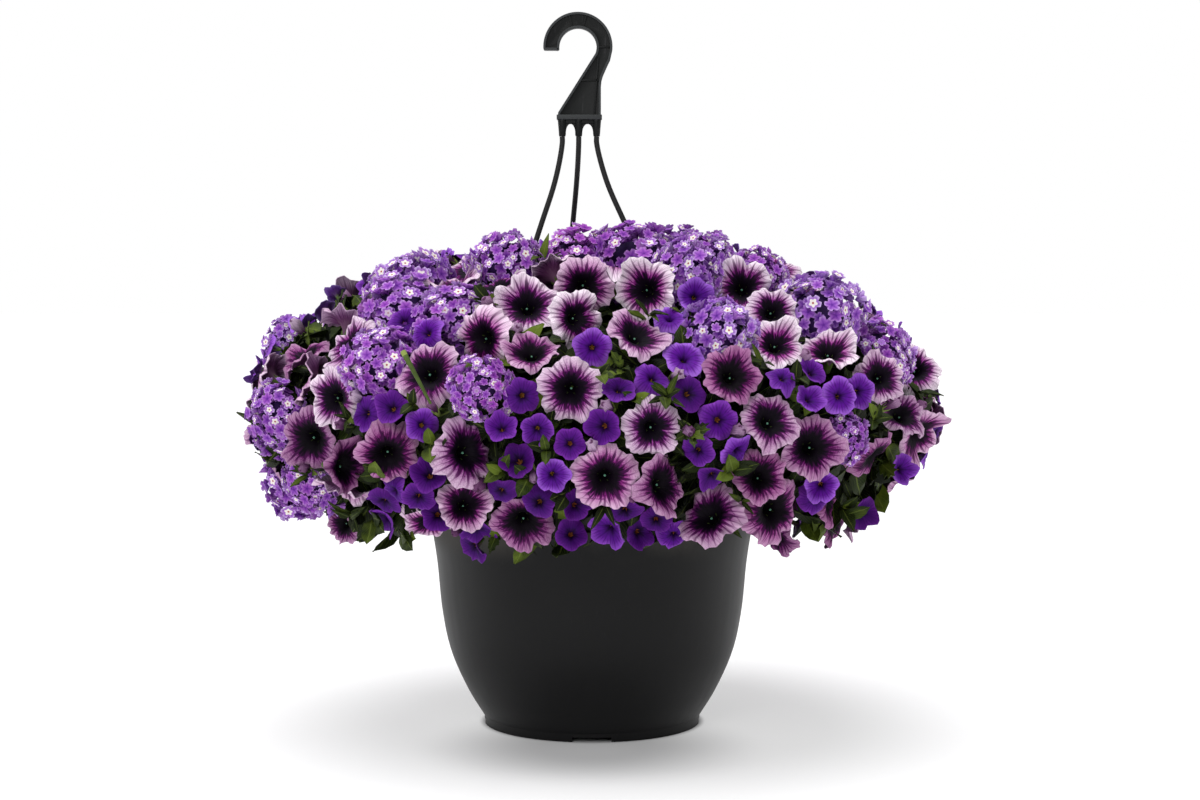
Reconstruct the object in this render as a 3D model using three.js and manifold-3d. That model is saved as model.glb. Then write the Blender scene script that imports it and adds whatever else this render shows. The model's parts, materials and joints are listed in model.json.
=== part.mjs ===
// A hanging basket: petunias, calibrachoas and verbena grown together into one mound, in a charcoal
// plastic pot with a three-strand plastic hanger. Millimetres, +Z up, the front faces -Y. The origin is
// the middle of the pot's foot, on the surface that the foot stands on.
import * as THREE from "three";
import { ConvexHull } from "three/addons/math/ConvexHull.js";
import { mergeVertices } from "three/addons/utils/BufferGeometryUtils.js";
import Module from "manifold-3d";

const wasm = await Module();
wasm.setup();

const GAP = 0.3; // between pieces that touch on the real basket
const DEGREE = Math.PI / 180;
const GOLDEN_ANGLE = Math.PI * (3 - Math.sqrt(5));

// The pot
const POT_HEIGHT = 215;
const POT_WALL = 2.4;
const FOOT_RADIUS = 103.4;
const FOOT_HEIGHT = 8;
const FOOT_WIDTH = 9;
const NOTCH_WIDTH = 36;
const NOTCH_HEIGHT = 4.5;
const NOTCHES = 4;
const DRAIN_HOLES = 4;
const DRAIN_RADIUS = 5;
const DRAIN_CIRCLE = 70;
const WALL_OUTLINE = [[104.4, 9], [118.6, 32.3], [135.3, 70.4], [143.4, 108.5], [148.2, 156], [154, 194]];
const SHOULDER_RADIUS = 155;
const SHOULDER_HEIGHT = 199;
const BAND_RADIUS = 148.8;
const LIP_RADIUS = 150;
const LIP_DEPTH = 6;
const LIP_INSIDE = 146;
const ROUND_SIDES = 24;
const WALL_STEPS = 6; // even, because the inside of the wall and the soil take every second point

// The potting soil and the crowns that stand in it
const SOIL_TOP = WALL_OUTLINE.at(-1)[1];
const CROWN_RADIUS = 7;
const CROWN_DEPTH = 40;
const CROWN_CIRCLE = 70;
const CROWN_TOP = SOIL_TOP + 10;

// The hanger
const STRAND_ANGLES = [222, 102, 342]; // degrees from +X, one for each socket of the fork, left to right
const STRAND_NAMES = ["left", "back", "right"];
const SOCKET_X = [-28.2, -12.6, 4.4];
const SOCKET_BOTTOM = 559.6;
const SOCKET_TOP_RADIUS = 4.4;
const SOCKET_BOTTOM_RADIUS = 3.1;
const SOCKET_RUN = 6; // a strand goes on straight down below its socket for this long
const STRAND_RADIUS = 2.35;
const STRAND_ROOM = 1.2; // the foliage stays this clear of a strand that passes through it
const STRAND_BOW = 0.1; // a strand bends from upright to outwards over about this share of its height
const STRAND_STEPS = 9;
const CLIP_WIDTH = 10;
const CLIP_TOP = 219;
const CLIP_BOTTOM = 208;
const CLIP_CATCH = 203.5; // the clip's outer leg ends here, below the lip
const CLIP_THICKNESS = 3.1;
const HOOK_THICKNESS = 9;
const HOOK_WEB = 4;
const HOOK_BORDER = 2.2;
const HOOK_CENTRE = [-13.3, 643.8];
const HOOK_OUTSIDE = 32.8;
const HOOK_INSIDE = 17.7;
const HOOK_TIP = 188 * DEGREE; // where the round of the hook ends, from +X
const HOOK_OUTER_START = -4 * DEGREE;
const HOOK_INNER_END = -21 * DEGREE;
const HOOK_BACK = [[8.5, 610], [9.6, 617], [17.6, 631]]; // the shank's right edge, going up
const HOOK_THROAT = [-32.1, 582]; // where the slanted left edge comes down
const HOOK_ARC_STEPS = 4;
const RIB_WIDTH = 1.8;
const ARC_RIBS = [0, 75, 105]; // degrees round the hook's middle
const SHANK_RIBS = [[[-11, 612.5], [8, 612.5]], [[6, 634], [2, 578]]];
const FLANGE_BOTTOM = 575.3;
const FLANGE_TOP = 580;
const FLANGE_LEFT = -33.5;
const FLANGE_RIGHT = 9.5;
const FORK_WIDTH = 5; // the bar under the flange that joins the three sockets
const FORK_DEPTH = 6;

// The mound of flowers: a flattened ball, fuller below its middle than a half one
const MOUND_RADIUS = 334;
const MOUND_MIDDLE = 300;
const MOUND_RISE = 170;
const MOUND_DROP = 163;
const HEM_LATITUDE = -50 * DEGREE;
const CORE_RADIUS = 277;
const CORE_RISE = 112;
const CORE_DROP = 88;
const CORE_SIDES = 18;
const NECK_RADIUS = 126; // the leafy core passes the pot's mouth this wide
const SECTORS = 6;
const SECTOR_START = 42; // degrees

// What grows: sizes in mm, each drawn between two values
// Below a flower's face its throat runs on by two shares of the radius, first square to the face, then
// to the mound.
// A trumpet's cup is given as pairs of shares: how deep, and how wide there.
const KINDS = {
  verbena: {
    radius: [25, 33], inset: [12, 24], throat: [0, 0.2], sprays: 14, share: 0.16, colour: 0x7a4bd0,
  },
  petunia: {
    radius: [24, 28], inset: [6, 18], throat: [0.35, 0.8], cup: [[0.8, 0], [0.3, 0.24]],
    sprays: 15, share: 0.46, colour: 0xb07aa8,
  },
  calibrachoa: {
    radius: [14, 16.5], inset: [4, 14], throat: [0.5, 1], cup: [[0.4, 0]],
    sprays: 15, share: 0.38, colour: 0x5b1fa6,
  },
};
const LOBES = 5;
const NOTCH_IN = 0.14; // shares of the flower's radius: the rim dips in and back between its lobes
const NOTCH_BACK = 0.08;
const LOBE_FORWARD = 0.05;
const THROAT_END = 0.14;
const LEAF_ROOM = [12, 15];
const LEAF_INSET = [30, 38];
const FRONT_LEAF_SPACING = 0.82; // of the distance that keeps two neighbours' rooms apart
const BACK_LEAF_SPACING = 1.15;
const LEAF_LENGTH = 2.1; // of its room's radius
const LEAF_WIDTH = 0.27; // half the blade's width over its length
const LEAF_DROOP = 0.25; // how far the tip bends down, over the length
const LEAF_CUP = 0.25; // how far the edges rise, over the half width
const LEAF_KEEL = 0.7; // half the blade's thickness at its rib
const PLAIN_BLADE = [[0.7, 0.78], [0.32, 1]]; // pairs: how far along, and how wide there
const TOOTHED_BLADE = [[0.74, 0.5], [0.62, 0.95], [0.4, 0.65], [0.3, 1]];
const TOOTHED_TURN = 1; // leaves whose turn is below this are toothed, about one in six
const LEAF_REACH = 22; // from the blade's foot to the middle of the room that it takes
const FLORETS = 7;
const FLORET_RADIUS = 0.34; // shares of the head's radius, as all down to the dome's drop
const HIGH_FLORET = 1.04;
const LOW_FLORET = 0.95;
const FLORET_CUP = 0.1;
const HEAD_UNDERSIDE = 0.7;
const DOME_RISE = 0.8;
const DOME_DROP = 0.45;
const DOME_REACH = 78 * DEGREE; // the florets go this far down from the head's top
const BRANCH_RADIUS = 1.3;
const HUB_RADIUS = 3.4; // a spray's stalks leave one short stem, one above the other
const HUB_STEP = 2.6;
const STALK_ROOM = 0.4; // a stalk bends until it passes everything by this much
const BEND_TRIES = 60;
const BEND_SHARES = [0.35, 0.6, 0.8]; // along the stalk
const BEND_LIFTS = [0, 6, 12, 18];
const BEND_STEP = 3;
const CORE_APPROACH = 16; // a stalk may be close to the core over its last stretch
const FILL_CANDIDATES = 150;
const FILL_SPACING = 0.93; // of the distance at which two flowers just touch
const LEAF_CANDIDATES = 320;
const LEAF_EDGE_ROOM = 9; // a leaf keeps this far from the edge of its sector
const RELAX_SWEEPS = 60;
const RELAX_SHARE = 0.4; // of the lack of room that one sweep makes good
const RELAX_MARGIN = 1;
const SPRAY_ROUNDS = 8; // of sharing the flowers out to the nearest middle
const PLANNED_FRONT = -40; // the front plan fills the mound in front of this Y ...
const PLANNED_TOP = MOUND_MIDDLE + 0.85 * MOUND_RISE; // ... and below this height
const FRONT_TURN = 0.42; // share of its facing that a front flower takes from the viewer's side
const LEVEL_TURN = 0.3; // share that the others take from the level direction outwards
const SWAY = 0.16;
const SEED = 20;

// The photograph's view, which the front planting plan is read in: pixels of its 1200 x 800 frame
const VIEW_DISTANCE = 2000;
const EYE_HEIGHT = 410;
const AXIS_PIXEL = 592;
const HORIZON_PIXEL = 294;
const MM_PER_PIXEL = 0.953;
const FRONT_PLAN = {
  verbena: [
    [480, 265], [384, 285], [430, 318], [380, 341], [393, 376], [484, 372], [282, 435], [282, 467],
    [560, 266], [619, 255], [693, 250], [689, 290], [697, 339], [766, 265], [828, 313], [899, 339],
    [849, 443],
  ],
  petunia: [
    [467, 249], [441, 282], [477, 319], [535, 321], [571, 318], [525, 360], [567, 355], [613, 342],
    [626, 309], [488, 350], [573, 392], [456, 396], [469, 426], [441, 466], [319, 425], [343, 448],
    [354, 370], [313, 375], [348, 396], [293, 348], [389, 439], [402, 515], [520, 519], [605, 454],
    [635, 457], [664, 461], [706, 470], [756, 481], [801, 476], [786, 530], [859, 493], [887, 468],
    [909, 429], [930, 445], [891, 392], [930, 361], [846, 356], [775, 319], [747, 357], [732, 395],
    [771, 413], [789, 431], [730, 278], [278, 487], [319, 484], [651, 235], [553, 290], [584, 290],
    [272, 375], [335, 322], [808, 278], [854, 293],
  ],
  calibrachoa: [
    [413, 346], [454, 341], [371, 415], [419, 411], [439, 417], [415, 439], [367, 454], [402, 463],
    [363, 484], [371, 513], [445, 515], [471, 517], [465, 541], [491, 461], [517, 457], [513, 416],
    [534, 408], [537, 435], [560, 420], [591, 394], [595, 426], [563, 463], [539, 470], [579, 485],
    [546, 505], [621, 404], [652, 404], [680, 415], [691, 391], [706, 422], [674, 439], [682, 457],
    [660, 482], [640, 486], [629, 509], [656, 529], [691, 512], [675, 314], [659, 345], [727, 435],
    [790, 380], [831, 391], [813, 405], [861, 395], [786, 361], [826, 468], [833, 501], [917, 466],
    [868, 521],
  ],
};

const point = (x, y, z) => new THREE.Vector3(x, y, z);
const polar = (radius, degrees, z) =>
  point(radius * Math.cos(degrees * DEGREE), radius * Math.sin(degrees * DEGREE), z);

let drawn = SEED;
function draw([low, high]) {
  drawn = (Math.imul(drawn, 1664525) + 1013904223) >>> 0;
  return low + ((high - low) * drawn) / 2 ** 32;
}

// Closed geometry to a manifold solid, facing outwards whichever way its outline ran.
function solid(geometry) {
  const bare = new THREE.BufferGeometry().setAttribute("position", geometry.getAttribute("position"));
  if (geometry.index) bare.setIndex(geometry.index);
  const merged = mergeVertices(bare, 1e-4);
  const corners = [];
  const { array } = merged.index;
  for (let i = 0; i < array.length; i += 3) {
    const [a, b, c] = array.subarray(i, i + 3);
    if (a !== b && b !== c && c !== a) corners.push(a, b, c);
  }
  const build = (triangles) =>
    new wasm.Manifold(
      new wasm.Mesh({
        numProp: 3,
        vertProperties: merged.attributes.position.array,
        triVerts: new Uint32Array(triangles),
      }),
    );
  const made = build(corners);
  return made.volume() > 0 ? made : build(corners.reverse());
}

const join = (solids) => solids.reduce((whole, next) => whole.add(next));
const cutAway = (whole, holes) => holes.reduce((rest, hole) => rest.subtract(hole), whole);

function lathe(outline, sides) {
  const profile = outline.map(([r, z]) => new THREE.Vector2(r, z));
  return solid(new THREE.LatheGeometry(profile, sides).rotateX(90 * DEGREE));
}

function box(width, depth, height, centre, degrees = 0) {
  const geometry = new THREE.BoxGeometry(width, depth, height);
  geometry.rotateZ(degrees * DEGREE).translate(centre.x, centre.y, centre.z);
  return solid(geometry);
}

// A closed skin over rings of points. Each ring runs anticlockwise as its axis comes towards the viewer,
// and the rings run away along that axis. The first and last are single points or triangles, and the
// others have any size.
function loft(rings) {
  const corners = rings[0].length === 3 ? [...rings[0]] : [];
  if (rings.at(-1).length === 3) corners.push(...rings.at(-1).toReversed());
  for (let r = 0; r + 1 < rings.length; r++) {
    const near = rings[r];
    const far = rings[r + 1];
    let i = 0;
    let j = 0;
    while (i < near.length || j < far.length) {
      const a = near[i % near.length];
      const b = far[j % far.length];
      const isFarBehind = near.length === 1 || (j + 1) / far.length <= (i + 1) / near.length;
      if (far.length > 1 && isFarBehind && j < far.length) {
        corners.push(a, b, far[(j + 1) % far.length]);
        j++;
      } else if (near.length > 1 && i < near.length) {
        corners.push(a, b, near[(i + 1) % near.length]);
        i++;
      } else break;
    }
  }
  return solid(new THREE.BufferGeometry().setFromPoints(corners));
}

// Points evenly round a centre, square to an axis, starting nearest to the direction `from`.
function ring(centre, axis, from, radius, count, turn = 0) {
  const x = from.clone().addScaledVector(axis, -from.dot(axis)).normalize();
  const y = axis.clone().cross(x);
  return Array.from({ length: count }, (_, k) => {
    const angle = (2 * Math.PI * k) / count + turn;
    return centre.clone().addScaledVector(x, radius * Math.cos(angle))
      .addScaledVector(y, radius * Math.sin(angle));
  });
}

// The rings of a thin stem along a path. It leaves square to an axis, and turns with the path without
// twisting.
function stemRings(path, leaving, from, radius, sides = 3) {
  let axis = leaving.clone().normalize();
  const side = from.clone().addScaledVector(axis, -from.dot(axis)).normalize();
  return path.map((at, k) => {
    const back = path[Math.max(k - 1, 0)].clone().sub(path[Math.min(k + 1, path.length - 1)]).normalize();
    side.applyQuaternion(new THREE.Quaternion().setFromUnitVectors(axis, back));
    axis = back;
    return ring(at, axis, side, radius, sides);
  });
}

function wallCurve(inwards) {
  const points = WALL_OUTLINE.map(([r, z]) => new THREE.Vector2(r - inwards, z));
  return new THREE.SplineCurve(points).getPoints(WALL_STEPS).map(({ x, y }) => [x, y]);
}

const insideWall = (clear) => wallCurve(POT_WALL + clear).filter((_, k) => k && k % 2 === 0);

function makePot() {
  const floor = FOOT_HEIGHT + POT_WALL;
  const profile = [
    [0, FOOT_HEIGHT],
    [FOOT_RADIUS - FOOT_WIDTH, FOOT_HEIGHT],
    [FOOT_RADIUS - FOOT_WIDTH, 0],
    [FOOT_RADIUS, 0],
    [FOOT_RADIUS, FOOT_HEIGHT],
    ...wallCurve(0),
    [SHOULDER_RADIUS, SHOULDER_HEIGHT],
    [BAND_RADIUS, SHOULDER_HEIGHT + 1],
    [BAND_RADIUS, POT_HEIGHT - LIP_DEPTH],
    [LIP_RADIUS, POT_HEIGHT - LIP_DEPTH],
    [LIP_RADIUS, POT_HEIGHT],
    [LIP_INSIDE, POT_HEIGHT],
    [LIP_INSIDE, SHOULDER_HEIGHT],
    ...insideWall(0).reverse(),
    [FOOT_RADIUS - POT_WALL, floor],
    [0, floor],
  ];
  const holes = [];
  for (let k = 0; k < NOTCHES; k++) {
    const turn = (k * 360) / NOTCHES;
    holes.push(box(4 * FOOT_WIDTH, NOTCH_WIDTH, 2 * NOTCH_HEIGHT, polar(FOOT_RADIUS, turn, 0), turn));
  }
  for (let k = 0; k < DRAIN_HOLES; k++) {
    const at = polar(DRAIN_CIRCLE, ((k + 0.5) * 360) / DRAIN_HOLES, FOOT_HEIGHT);
    const drain = new THREE.CylinderGeometry(DRAIN_RADIUS, DRAIN_RADIUS, 4 * POT_WALL, 6);
    holes.push(solid(drain.rotateX(90 * DEGREE).translate(at.x, at.y, at.z)));
  }
  return cutAway(lathe(profile, ROUND_SIDES), holes);
}

function crown(sector, radius, top) {
  const at = polar(CROWN_CIRCLE, sectorMiddle(sector), 0);
  const bottom = SOIL_TOP - CROWN_DEPTH - (radius - CROWN_RADIUS);
  const stem = new THREE.CylinderGeometry(radius, radius, top - bottom, 6);
  return solid(stem.rotateX(90 * DEGREE).translate(at.x, at.y, (top + bottom) / 2));
}

function makeSoil() {
  const floor = FOOT_HEIGHT + POT_WALL + GAP;
  const profile = [[0, floor], [FOOT_RADIUS - POT_WALL - GAP, floor], ...insideWall(GAP), [0, SOIL_TOP]];
  const holes = Array.from({ length: SECTORS }, (_, k) => crown(k, CROWN_RADIUS + GAP, CROWN_TOP));
  return cutAway(lathe(profile, ROUND_SIDES), holes);
}

// A closed outline moved inwards by the same distance all round, for one that runs anticlockwise.
function inset(outline, distance) {
  return outline.map((at, k) => {
    const before = outline.at(k - 1);
    const after = outline[(k + 1) % outline.length];
    const a = at.clone().sub(before).normalize();
    const b = after.clone().sub(at).normalize();
    const reach = distance / (1 + a.dot(b));
    return new THREE.Vector2(at.x - (a.y + b.y) * reach, at.y + (a.x + b.x) * reach);
  });
}

function plate(outline, thickness, hole) {
  const shape = new THREE.Shape(outline);
  if (hole) shape.holes.push(new THREE.Path(hole));
  const geometry = new THREE.ExtrudeGeometry(shape, { depth: thickness, bevelEnabled: false });
  return solid(geometry.rotateX(90 * DEGREE).translate(0, thickness / 2, 0));
}

function hookOutline() {
  const [x, z] = HOOK_CENTRE;
  const shape = new THREE.Shape();
  shape.moveTo(FLANGE_LEFT + 1, FLANGE_BOTTOM);
  shape.lineTo(FLANGE_RIGHT - 1, FLANGE_BOTTOM);
  for (const [backX, backZ] of HOOK_BACK) shape.lineTo(backX, backZ);
  shape.absarc(x, z, HOOK_OUTSIDE, HOOK_OUTER_START, HOOK_TIP, false);
  shape.absarc(x, z, HOOK_INSIDE, HOOK_TIP, HOOK_INNER_END, true);
  shape.lineTo(...HOOK_THROAT);
  return shape.getPoints(HOOK_ARC_STEPS);
}

// A straight rib across the hook's pockets, between two points of its plate.
function hookRib(from, to) {
  const along = to.clone().sub(from);
  const rib = new THREE.BoxGeometry(along.length(), HOOK_THICKNESS - 1, RIB_WIDTH);
  const middle = from.clone().add(to).multiplyScalar(0.5);
  return solid(rib.rotateY(-Math.atan2(along.y, along.x)).translate(middle.x, 0, middle.y));
}

function makeHook() {
  const outline = hookOutline();
  const centre = new THREE.Vector2(...HOOK_CENTRE);
  const onArc = (radius, degrees) =>
    centre.clone().add(new THREE.Vector2(radius, 0).rotateAround(new THREE.Vector2(), degrees * DEGREE));
  const middle = (FLANGE_LEFT + FLANGE_RIGHT) / 2;
  const width = FLANGE_RIGHT - FLANGE_LEFT;
  const flangeHeight = FLANGE_TOP - FLANGE_BOTTOM;
  return join([
    plate(outline, HOOK_THICKNESS, inset(outline, HOOK_BORDER)),
    plate(inset(outline, HOOK_BORDER / 2), HOOK_WEB),
    ...ARC_RIBS.map((turn) => hookRib(onArc(HOOK_INSIDE + 1, turn), onArc(HOOK_OUTSIDE - 1, turn))),
    ...SHANK_RIBS.map(([from, to]) => hookRib(new THREE.Vector2(...from), new THREE.Vector2(...to))),
    box(width, HOOK_THICKNESS + 1, flangeHeight, point(middle, 0, FLANGE_BOTTOM + flangeHeight / 2)),
    box(width - FORK_WIDTH, FORK_WIDTH, FORK_DEPTH, point(middle, 0, FLANGE_BOTTOM - 1)),
    ...SOCKET_X.map((x) => {
      const height = FLANGE_BOTTOM + 1 - SOCKET_BOTTOM;
      const cone = new THREE.CylinderGeometry(SOCKET_TOP_RADIUS, SOCKET_BOTTOM_RADIUS, height, 8);
      return solid(cone.rotateX(90 * DEGREE).translate(x, 0, SOCKET_BOTTOM + height / 2));
    }),
  ]);
}

// A strand leaves its socket straight down, then curves out to the pot's lip.
function strandPath(k) {
  const top = point(SOCKET_X[k], 0, SOCKET_BOTTOM - GAP);
  const bend = point(top.x, 0, top.z - SOCKET_RUN);
  const foot = polar((LIP_INSIDE + LIP_RADIUS) / 2, STRAND_ANGLES[k], CLIP_TOP - STRAND_RADIUS / 2);
  const path = [top];
  for (let i = 0; i <= STRAND_STEPS; i++) {
    const down = i / STRAND_STEPS;
    const out = (down * down * (1 + STRAND_BOW)) / (down + STRAND_BOW);
    const at = bend.clone().lerp(foot, out);
    at.z = bend.z + (foot.z - bend.z) * down;
    path.push(at);
  }
  return path;
}

function rod(k, radius, steps) {
  const section = new THREE.Shape().absarc(0, 0, radius, 0, 2 * Math.PI);
  const path = new THREE.CatmullRomCurve3(strandPath(k));
  return solid(new THREE.ExtrudeGeometry(section, { steps, curveSegments: 3, extrudePath: path }));
}

// A strand's foot is a clip over the pot's lip: a hook under it outside, and a leg inside.
function makeStrand(k) {
  const clear = LIP_RADIUS + GAP;
  const underLip = POT_HEIGHT - LIP_DEPTH - GAP;
  const insideFacet = LIP_INSIDE * Math.cos(Math.PI / ROUND_SIDES); // where the lip comes closest in
  const legOutside = insideFacet - GAP;
  const legInside = legOutside - CLIP_THICKNESS;
  const outline = [
    [legInside, CLIP_BOTTOM],
    [legOutside, CLIP_BOTTOM],
    [legOutside, POT_HEIGHT + GAP],
    [clear, POT_HEIGHT + GAP],
    [clear, underLip],
    [BAND_RADIUS + GAP, underLip],
    [BAND_RADIUS + GAP, CLIP_CATCH],
    [LIP_RADIUS + CLIP_THICKNESS, CLIP_CATCH],
    [LIP_RADIUS + CLIP_THICKNESS, CLIP_TOP],
    [legInside, CLIP_TOP],
  ];
  const clip = new THREE.Shape(outline.map(([x, y]) => new THREE.Vector2(x, y)));
  const body = new THREE.ExtrudeGeometry(clip, { depth: CLIP_WIDTH, bevelEnabled: false });
  body.rotateX(90 * DEGREE).translate(0, CLIP_WIDTH / 2, 0).rotateZ(STRAND_ANGLES[k] * DEGREE);
  return rod(k, STRAND_RADIUS, 7).add(solid(body));
}

// The point of a flattened ball that lies the same way from its middle as a given place does.
function ontoBall(at, radius, rise, drop) {
  const height = at.z - MOUND_MIDDLE;
  const unit = point(at.x / radius, at.y / radius, height / (height > 0 ? rise : drop)).normalize();
  unit.z = Math.max(unit.z, Math.sin(HEM_LATITUDE));
  const level = Math.hypot(unit.x, unit.y);
  const wanted = Math.sqrt(1 - unit.z * unit.z);
  unit.x *= level ? wanted / level : 0;
  unit.y *= level ? wanted / level : 0;
  return point(unit.x * radius, unit.y * radius, MOUND_MIDDLE + unit.z * (unit.z > 0 ? rise : drop));
}

const ontoMound = (at) => ontoBall(at, MOUND_RADIUS, MOUND_RISE, MOUND_DROP);

function moundNormal(at) {
  const height = at.z - MOUND_MIDDLE;
  const depth = height > 0 ? MOUND_RISE : MOUND_DROP;
  return point(at.x / MOUND_RADIUS ** 2, at.y / MOUND_RADIUS ** 2, height / depth ** 2).normalize();
}

// The place on the mound's front that shows at a pixel, or the nearest edge of the mound beside it.
function seenAt([column, row]) {
  const eye = point(0, -VIEW_DISTANCE, EYE_HEIGHT);
  const across = (column - AXIS_PIXEL) * MM_PER_PIXEL;
  const up = (HORIZON_PIXEL - row) * MM_PER_PIXEL;
  const sight = point(across, VIEW_DISTANCE, up);
  const depth = EYE_HEIGHT + up > MOUND_MIDDLE ? MOUND_RISE : MOUND_DROP;
  const squash = point(1 / MOUND_RADIUS, 1 / MOUND_RADIUS, 1 / depth);
  const start = eye.clone().sub(point(0, 0, MOUND_MIDDLE)).multiply(squash);
  const way = sight.clone().multiply(squash);
  const half = -start.dot(way) / way.lengthSq();
  const miss = start.clone().addScaledVector(way, half).lengthSq();
  const back = miss < 1 ? Math.sqrt((1 - miss) / way.lengthSq()) : 0;
  return ontoMound(eye.addScaledVector(sight, half - back));
}

const strandPaths = STRAND_NAMES.map((_, k) => new THREE.CatmullRomCurve3(strandPath(k)).getPoints(60));

function plant(kind, at, isFront) {
  const [radius, depth] = [draw(kind.radius), draw(kind.inset)];
  const sway = point(draw([-1, 1]), draw([-1, 1]), draw([-1, 1]));
  const turn = draw([0, 2 * Math.PI]);
  return { kind, at, radius, depth, sway, turn, isFront };
}

const centreOf = (flower) => flower.at.clone().addScaledVector(moundNormal(flower.at), -flower.depth);

function hasRoom(flower, others, spacing) {
  const centre = centreOf(flower);
  const clearOfFlowers = others.every(
    (other) => centre.distanceTo(centreOf(other)) > (flower.radius + other.radius) * spacing,
  );
  const reach = flower.radius + STRAND_RADIUS;
  return clearOfFlowers && strandPaths.flat().every((at) => at.distanceTo(centre) > reach);
}

// Turning round the mound by the golden angle from top to hem spreads the candidates evenly.
function spread(count, k) {
  const low = Math.sin(HEM_LATITUDE);
  const height = 1 - ((k + 0.5) / count) * (1 - low);
  const level = Math.sqrt(1 - height * height);
  const angle = GOLDEN_ANGLE * k;
  const depth = height > 0 ? MOUND_RISE : MOUND_DROP;
  return point(
    MOUND_RADIUS * level * Math.cos(angle),
    MOUND_RADIUS * level * Math.sin(angle),
    MOUND_MIDDLE + depth * height,
  );
}

// Flowers that crowd each other, or a strand, edge apart along the mound's surface.
function settle(flowers) {
  const strands = strandPaths.flat();
  for (let sweep = 0; sweep < RELAX_SWEEPS; sweep++) {
    const centres = flowers.map(centreOf);
    const pushes = flowers.map(() => point(0, 0, 0));
    flowers.forEach((flower, i) => {
      flowers.forEach((other, j) => {
        const apart = centres[i].clone().sub(centres[j]);
        const lack = flower.radius + other.radius + RELAX_MARGIN - apart.length();
        if (i !== j && lack > 0) pushes[i].addScaledVector(apart.normalize(), lack * RELAX_SHARE);
      });
      for (const strand of strands) {
        const apart = centres[i].clone().sub(strand);
        const lack = flower.radius + STRAND_RADIUS + RELAX_MARGIN - apart.length();
        if (lack > 0) pushes[i].addScaledVector(apart.normalize(), lack * RELAX_SHARE);
      }
    });
    flowers.forEach((flower, i) => {
      flower.at = ontoMound(flower.at.clone().add(pushes[i]));
    });
  }
}

function plantFlowers() {
  const flowers = [];
  for (const [name, places] of Object.entries(FRONT_PLAN)) {
    for (const place of places) flowers.push(plant(KINDS[name], seenAt(place), true));
  }
  const shares = Object.values(KINDS);
  for (let k = 0; k < FILL_CANDIDATES; k++) {
    const at = spread(FILL_CANDIDATES, k);
    let chance = draw([0, 1]);
    const kind = shares.find(({ share }) => (chance -= share) < 0) ?? shares.at(-1);
    const flower = plant(kind, at, false);
    const isPlanned = at.y < PLANNED_FRONT && at.z < PLANNED_TOP;
    if (!isPlanned && hasRoom(flower, flowers, FILL_SPACING)) flowers.push(flower);
  }
  settle(flowers);
  return flowers;
}

// A flower faces out from the mound and a little more level than its surface does. The front ones turn
// to the front.
function facing(flower) {
  const normal = moundNormal(flower.at);
  const level = point(normal.x, normal.y, 0.1).normalize();
  const towards = flower.isFront ? point(0, -1, 0.1) : level;
  const share = flower.isFront ? FRONT_TURN : LEVEL_TURN;
  return normal.clone().multiplyScalar(1 - share).addScaledVector(towards, share)
    .addScaledVector(flower.sway, SWAY).normalize();
}

function throatEnd(flower) {
  const [square, inwards] = flower.kind.throat;
  return centreOf(flower).addScaledVector(facing(flower), -square * flower.radius)
    .addScaledVector(moundNormal(flower.at), -inwards * flower.radius);
}

// A trumpet flower with five lobes: rings from the middle of its face to the rim, and back to the
// throat's end.
function trumpetRings(flower) {
  const face = facing(flower);
  const leaving = face.clone().add(moundNormal(flower.at)).normalize();
  const up = Math.abs(face.z) < 0.9 ? point(0, 0, 1) : point(0, 1, 0);
  const { radius, turn } = flower;
  const centre = centreOf(flower);
  const at = (out) => centre.clone().addScaledVector(face, out * radius);
  const rim = ring(at(0), face, up, radius, 2 * LOBES, turn).map((edge, k) =>
    k % 2
      ? edge.lerp(centre, NOTCH_IN).addScaledVector(face, -NOTCH_BACK * radius)
      : edge.addScaledVector(face, LOBE_FORWARD * radius),
  );
  const inside = flower.kind.cup.map(([depth, width]) =>
    width ? ring(at(-depth), face, up, width * radius, LOBES, turn) : [at(-depth)],
  );
  return [...inside, rim, ring(throatEnd(flower), leaving, up, THROAT_END * radius, 3, turn)];
}

// A unit verbena head: florets spread over a dome, each a five-cornered cup with its middle sunk in. The
// skin between them comes from the hull of all the directions, and then each point moves in or out to
// its own height.
function verbenaHead() {
  const directions = [];
  const heights = [];
  for (let k = 0; k < FLORETS; k++) {
    const fromTop = DOME_REACH * Math.sqrt((k + 0.3) / (FLORETS - 0.5));
    const middle = new THREE.Vector3().setFromSphericalCoords(1, fromTop, GOLDEN_ANGLE * k);
    const axis = point(middle.x, middle.z, middle.y);
    const lift = k % 2 ? HIGH_FLORET : LOW_FLORET;
    directions.push(axis.clone());
    heights.push(lift - FLORET_CUP);
    const side = Math.abs(axis.z) < 0.9 ? point(0, 0, 1) : point(1, 0, 0);
    for (const corner of ring(axis, axis, side, FLORET_RADIUS, LOBES, k)) {
      directions.push(corner.normalize());
      heights.push(lift);
    }
  }
  for (let k = 0; k < 3; k++) {
    directions.push(polar(0.5, k * 120, -1).normalize());
    heights.push(HEAD_UNDERSIDE);
  }
  const hull = new ConvexHull().setFromPoints(directions);
  const corners = [];
  for (const face of hull.faces) {
    let edge = face.edge;
    do {
      const k = directions.indexOf(edge.head().point);
      const corner = directions[k].clone().multiplyScalar(heights[k]);
      corner.z *= corner.z > 0 ? DOME_RISE : DOME_DROP;
      corners.push(corner);
      edge = edge.next;
    } while (edge !== face.edge);
  }
  return corners;
}

const headCorners = verbenaHead();

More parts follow.
